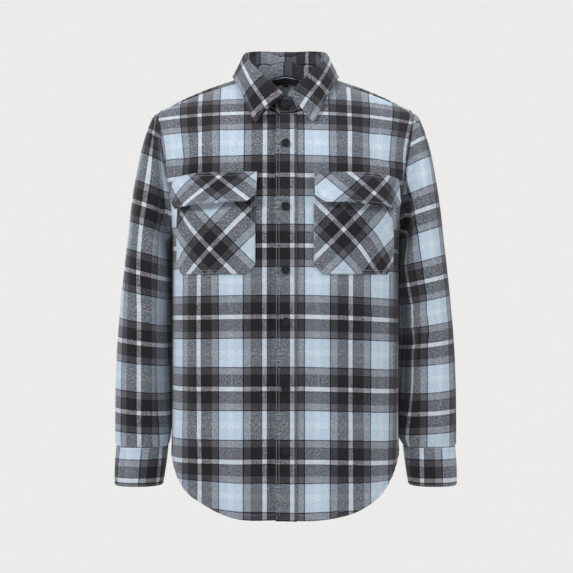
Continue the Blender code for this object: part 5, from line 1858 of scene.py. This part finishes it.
def topstitching():
    for group, rows in STITCHES.items():
        lines = [stitched(name, edge, *places)
                 for names, edges, *places in rows for name in names for edge in edges]
        stitch_mesh("stitches_" + group, lines or armhole_lines(), "sewing_thread")


# ---- buttons ----
def circle(radius, sides, centre=(0.0, 0.0)):
    turn = np.arange(sides) / sides * 2 * np.pi
    return joined(centre[0] + radius * np.cos(turn), centre[1] + radius * np.sin(turn))


def button_mesh():
    """A turned button with a raised rim and four holes through its dish."""
    found = bpy.data.meshes.get("shirt_button")
    if found:
        return found
    work = bmesh.new()

    def ring(spots, level):
        return [work.verts.new((x, y, level * BUTTON_HEIGHT)) for x, y in spots]

    def band(above, below):
        for k, corner in enumerate(above):
            n = (k + 1) % len(above)
            work.faces.new((corner, below[k], below[n], above[n]))

    rings = [ring(circle(share * BUTTON_RADIUS, BUTTON_ROUND), level) for share, level in BUTTON_TURN]
    for above, below in zip(rings, rings[1:]):
        band(above, below)
    dish, back = [rings[0]], [rings[-1]]
    for x, y in ((1, 1), (-1, 1), (-1, -1), (1, -1)):
        spots = circle(HOLE_RADIUS, HOLE_SIDES, (x * HOLE_SET, y * HOLE_SET))
        dish.append(ring(spots, BUTTON_TURN[0][1]))
        back.append(ring(spots, 0.0))
        band(dish[-1], back[-1])
    for loops in (dish, back):
        edges = [work.edges.get(pair) or work.edges.new(pair)
                 for loop in loops for pair in zip(loop, loop[1:] + loop[:1])]
        bmesh.ops.triangle_fill(work, edges=edges, use_beauty=True)
    bmesh.ops.recalc_face_normals(work, faces=work.faces)
    mesh = bpy.data.meshes.new("shirt_button")
    work.to_mesh(mesh)
    work.free()
    mesh.shade_smooth()
    mesh.set_sharp_from_angle(angle=math.radians(BUTTON_SHARP))
    mesh.materials.append(finish("button_resin"))
    return mesh


def button(name, normal):
    """A button in its CAD node's place; the places and directions of its threads."""
    low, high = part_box(name)
    normal = Vector(normal).normalized()
    piece = placed(name + "_turned", button_mesh())
    piece.rotation_mode = "QUATERNION"
    piece.rotation_quaternion = normal.to_track_quat("Z", "Y")
    piece.location = (low + high) / 2 - normal * BUTTON_HEIGHT / 2
    bpy.context.view_layer.update()
    matrix = np.array(piece.matrix_world)
    seated(piece, "button_black", name)
    level = BUTTON_TURN[0][1] * BUTTON_HEIGHT + THREAD_RISE
    middles = np.array([[side * HOLE_SET + layer * THREAD_SPREAD, 0.0, level]
                        for side in (-1, 1) for layer in (-1, 1)])
    turned = middles @ matrix[:3, :3].T + matrix[:3, 3]
    return turned, np.tile(matrix[:3, 1], (4, 1)), np.tile(matrix[:3, 2], (4, 1))


def buttons():
    lines = []
    for count, z in enumerate(BUTTON_Z, 1):
        _, normal = moved_out(front_at, np.array(0.0), np.array(z), 0.0)
        lines.append(button(f"button_front_{count}", normal))
    lines.append(button("button_collar", (0.0, -COLLAR[0][1], STAND_LEAN)))
    turn = CUFF_START + CUFF_OVERLAP - CUFF_BUTTON_SET
    along = tube_point(CUFF[1], turn + 1, CUFF_STEP) - tube_point(CUFF[1], turn - 1, CUFF_STEP)
    normal = np.cross(along, UP)
    lines.append(button("button_cuff_left", normal))
    lines.append(button("button_cuff_right", normal * FLIP))
    piece = stitch_mesh("button_threads", lines, "button_thread")


# ---- stage ----
MIDDLE = (0.0, 0.0, -0.36)
FLOOR_Z = -1.45
FLOOR_RADIUS, FLOOR_SIDES = 2.4, 96
LAMPS = (  # columns: name, place, diameter, share of the power
    ("key_lamp", (-2.0, -1.8, 1.4), 1.1, 1.05),
    ("fill_lamp", (2.4, -1.3, 1.0), 1.3, 0.78),
    ("side_lamp", (-2.2, -0.6, 0.3), 1.6, 0.12),
    ("top_lamp", (0.0, 0.3, 2.4), 1.6, 0.28),
    ("back_lamp", (0.8, 2.5, 1.2), 2.0, 0.90),
    ("low_lamp", (-0.3, -2.4, -0.7), 1.8, 0.11),
)


def area_lamp(name, place, size, power):
    lamp = bpy.data.lights.new(name, "AREA")
    lamp.shape = "DISK"
    lamp.size = size
    lamp.energy = power
    holder = placed(name, lamp)
    holder.location = place
    holder.rotation_mode = "QUATERNION"
    holder.rotation_quaternion = (Vector(MIDDLE) - Vector(place)).to_track_quat("-Z", "Y")


def backdrop(settings):
    """A backdrop that gives the cloth less light than the camera sees."""
    world = bpy.data.worlds.new("pale_studio")
    bpy.context.scene.world = world
    world.use_nodes = True
    tree = world.node_tree
    seen = add(tree, "LightPath").outputs["Is Camera Ray"]
    strength = calc(tree, "MULTIPLY_ADD", seen, 1.0 - settings.ambient, settings.ambient)
    fill(tree, tree.nodes["Background"].inputs, [opaque(settings.backdrop), strength])


def stage():
    settings = bpy.context.scene.shirt_stage
    backdrop(settings)
    for name, place, size, share in LAMPS:
        area_lamp(name, place, size, settings.lamp_power * share)
    floor = bmesh.new()
    bmesh.ops.create_circle(floor, cap_ends=True, segments=FLOOR_SIDES, radius=FLOOR_RADIUS)
    mesh = bpy.data.meshes.new("studio_floor")
    floor.to_mesh(mesh)
    floor.free()
    mesh.materials.append(finish("floor_paint"))
    piece = placed("studio_floor", mesh)
    piece.location = (0.0, 0.0, FLOOR_Z)
    camera = bpy.data.cameras.new("front_camera")
    camera.lens = settings.lens
    camera.sensor_width = 36.0
    camera.dof.use_dof = False
    holder = placed("front_camera", camera)
    holder.location = settings.camera_place
    holder.rotation_euler = (math.radians(90), 0.0, 0.0)
    bpy.context.scene.camera = holder
    bpy.context.scene.view_settings.view_transform = "Standard"


# ---- the add-on ----
def colour(name, text, default, kind="COLOR"):
    return FloatVectorProperty(name=name, description=text, subtype=kind, size=3, min=0.0, max=1.0,
                               default=default)


def yarn(name, text, default):
    return colour(name, text, default, "COLOR_GAMMA")


def size(name, text, default, low, high, digits=4):
    return FloatProperty(name=name, description=text, default=default, min=low, max=high,
                         unit="LENGTH", precision=digits)


def part(name, text, default, high=1.0):
    return FloatProperty(name=name, description=text, default=default, min=0.0, max=high,
                         subtype="FACTOR")


class ShirtClothSettings(PropertyGroup):
    """The plaid flannel and its creases."""
    warp_repeat: size("Warp repeat", "Width of one repeat of the plaid across the cloth",
                      WARP_REPEAT, 0.02, 0.5)
    weft_repeat: size("Weft repeat", "Height of one repeat of the plaid down the cloth",
                      WEFT_REPEAT, 0.02, 0.5)
    white: yarn("White", "Yarn of the narrow white stripes", (0.805, 0.815, 0.845))
    charcoal: yarn("Charcoal", "Yarn of the dark bands beside them", (0.096, 0.092, 0.104))
    grey: yarn("Grey", "Yarn of the grey bands", (0.345, 0.345, 0.378))
    line: yarn("Line", "Yarn of the thin black lines", (0.014, 0.018, 0.032))
    blue: yarn("Blue", "Yarn of the broad blue bands", (0.728, 0.806, 0.874))
    pale_blue: yarn("Pale blue", "Yarn in the middle of the blue bands", (0.812, 0.862, 0.910))
    nap: part("Nap", "How much brushed pale fibre lies over the yarns", 0.10)
    crease_depth: part("Crease depth", "Depth of the creases, as a share of the usual one", 1.0, 2.0)


class ShirtTrimSettings(PropertyGroup):
    """Buttons, thread and label."""
    button_colour: colour("Button", "Colour of the resin buttons", (0.006, 0.006, 0.007))
    thread_colour: colour("Thread", "Colour of the topstitching", (0.36, 0.39, 0.43))
    label_colour: colour("Label", "Colour of the woven neck label", (0.012, 0.012, 0.013))
    stitch_length: size("Stitch", "Length of one stitch", 0.0030, 0.001, 0.01)
    stitch_gap: size("Gap", "Space between two stitches", 0.0008, 0.0002, 0.01)
    thread_radius: size("Thread radius", "Half the thickness of the topstitching",
                        0.00036, 0.0001, 0.001, 5)


class ShirtStageSettings(PropertyGroup):
    """Backdrop, lamps and camera."""
    backdrop: colour("Backdrop", "Colour of the floor and backdrop", (0.838, 0.831, 0.823))
    ambient: part("Ambient", "Light from the backdrop, as a share of its own brightness", 0.11)
    lamp_power: FloatProperty(
        name="Lamp power", description="Power of a lamp whose share is 1",
        default=64.0, min=0.0, max=2000.0, unit="POWER")
    lens: FloatProperty(
        name="Lens", description="Focal length of the camera, in millimetres",
        default=84.69, min=10.0, max=300.0, unit="CAMERA")
    camera_place: FloatVectorProperty(
        name="Camera", description="Place of the camera", size=3, subtype="TRANSLATION",
        default=(0.0013, -2.328, -0.355), unit="LENGTH")


class SHIRT_OT_fronts(Operator):
    """Builds the two fronts"""
    bl_idname = "shirt.fronts"
    bl_label = "Fronts"

    def execute(self, context):
        panel("front_left")
        panel("front_right")
        return {"FINISHED"}


class SHIRT_OT_back(Operator):
    """Builds the back"""
    bl_idname = "shirt.back"
    bl_label = "Back"

    def execute(self, context):
        panel("back")
        return {"FINISHED"}


class SHIRT_OT_yoke(Operator):
    """Builds the yoke over the shoulders"""
    bl_idname = "shirt.yoke"
    bl_label = "Yoke"

    def execute(self, context):
        yoke()
        return {"FINISHED"}


class SHIRT_OT_sleeves(Operator):
    """Builds the two sleeves"""
    bl_idname = "shirt.sleeves"
    bl_label = "Sleeves"

    def execute(self, context):
        sleeve("left")
        sleeve("right")
        return {"FINISHED"}


class SHIRT_OT_cuffs(Operator):
    """Builds the two cuffs"""
    bl_idname = "shirt.cuffs"
    bl_label = "Cuffs"

    def execute(self, context):
        cuff("left")
        cuff("right")
        return {"FINISHED"}


class SHIRT_OT_slit_plackets(Operator):
    """Builds the strips over the slits of the sleeves"""
    bl_idname = "shirt.slit_plackets"
    bl_label = "Sleeve slits"

    def execute(self, context):
        slit_placket("left")
        slit_placket("right")
        return {"FINISHED"}


class SHIRT_OT_placket(Operator):
    """Builds the button placket"""
    bl_idname = "shirt.placket"
    bl_label = "Front placket"

    def execute(self, context):
        placket()
        return {"FINISHED"}


class SHIRT_OT_collar(Operator):
    """Builds the collar's stand and its leaf"""
    bl_idname = "shirt.collar"
    bl_label = "Collar"

    def execute(self, context):
        collar_stand()
        collar_leaf()
        return {"FINISHED"}


class SHIRT_OT_pockets(Operator):
    """Builds the chest pockets and their flaps"""
    bl_idname = "shirt.pockets"
    bl_label = "Pockets"

    def execute(self, context):
        pocket("left")
        pocket("right")
        pocket_flap("left")
        pocket_flap("right")
        return {"FINISHED"}


class SHIRT_OT_labels(Operator):
    """Builds the bare neck label and its tab"""
    bl_idname = "shirt.labels"
    bl_label = "Labels"

    def execute(self, context):
        neck_labels()
        return {"FINISHED"}


class SHIRT_OT_buttons(Operator):
    """Builds the nine buttons and their threads"""
    bl_idname = "shirt.buttons"
    bl_label = "Buttons"

    def execute(self, context):
        buttons()
        return {"FINISHED"}


class SHIRT_OT_stitches(Operator):
    """Builds the topstitching of all the seams"""
    bl_idname = "shirt.stitches"
    bl_label = "Stitches"

    def execute(self, context):
        topstitching()
        return {"FINISHED"}


class SHIRT_OT_sheets(Operator):
    bl_idname = "shirt.sheets"
    bl_label = "Cuts"

    def execute(self, context):
        return {"FINISHED"}


class SHIRT_OT_stage(Operator):
    """Builds the floor, the lamps and the camera"""
    bl_idname = "shirt.stage"
    bl_label = "Stage"

    def execute(self, context):
        stage()
        return {"FINISHED"}


OPERATORS = (
    SHIRT_OT_fronts,
    SHIRT_OT_back,
    SHIRT_OT_yoke,
    SHIRT_OT_sleeves,
    SHIRT_OT_cuffs,
    SHIRT_OT_slit_plackets,
    SHIRT_OT_placket,
    SHIRT_OT_collar,
    SHIRT_OT_pockets,
    SHIRT_OT_labels,
    SHIRT_OT_buttons,
    SHIRT_OT_stitches,
    SHIRT_OT_sheets,
    SHIRT_OT_stage,
)
GROUPS = (
    ("shirt_cloth", ShirtClothSettings),
    ("shirt_trim", ShirtTrimSettings),
    ("shirt_stage", ShirtStageSettings),
)


class SHIRT_PT_panel(Panel):
    """Lists the shirt's settings and its pieces"""
    bl_label = "Shirt jacket"
    bl_idname = "SHIRT_PT_panel"
    bl_space_type = "VIEW_3D"
    bl_region_type = "UI"
    bl_category = "Shirt jacket"

    def draw(self, context):
        for home, group in GROUPS:
            box = self.layout.box()
            for name in group.__annotations__:
                box.prop(getattr(context.scene, home), name)
        for operator in OPERATORS:
            self.layout.operator(operator.bl_idname)


def register():
    for _, group in GROUPS:
        bpy.utils.register_class(group)
    for home, group in GROUPS:
        setattr(bpy.types.Scene, home, PointerProperty(type=group))
    for operator in OPERATORS:
        bpy.utils.register_class(operator)
    bpy.utils.register_class(SHIRT_PT_panel)


def unregister():
    bpy.utils.unregister_class(SHIRT_PT_panel)
    for operator in reversed(OPERATORS):
        bpy.utils.unregister_class(operator)
    for home, group in reversed(GROUPS):
        delattr(bpy.types.Scene, home)
        bpy.utils.unregister_class(group)


def main():
    register()
    for operator in OPERATORS:
        home, name = operator.bl_idname.split(".")
        getattr(getattr(bpy.ops, home), name)()


if __name__ == "__main__":
    main()
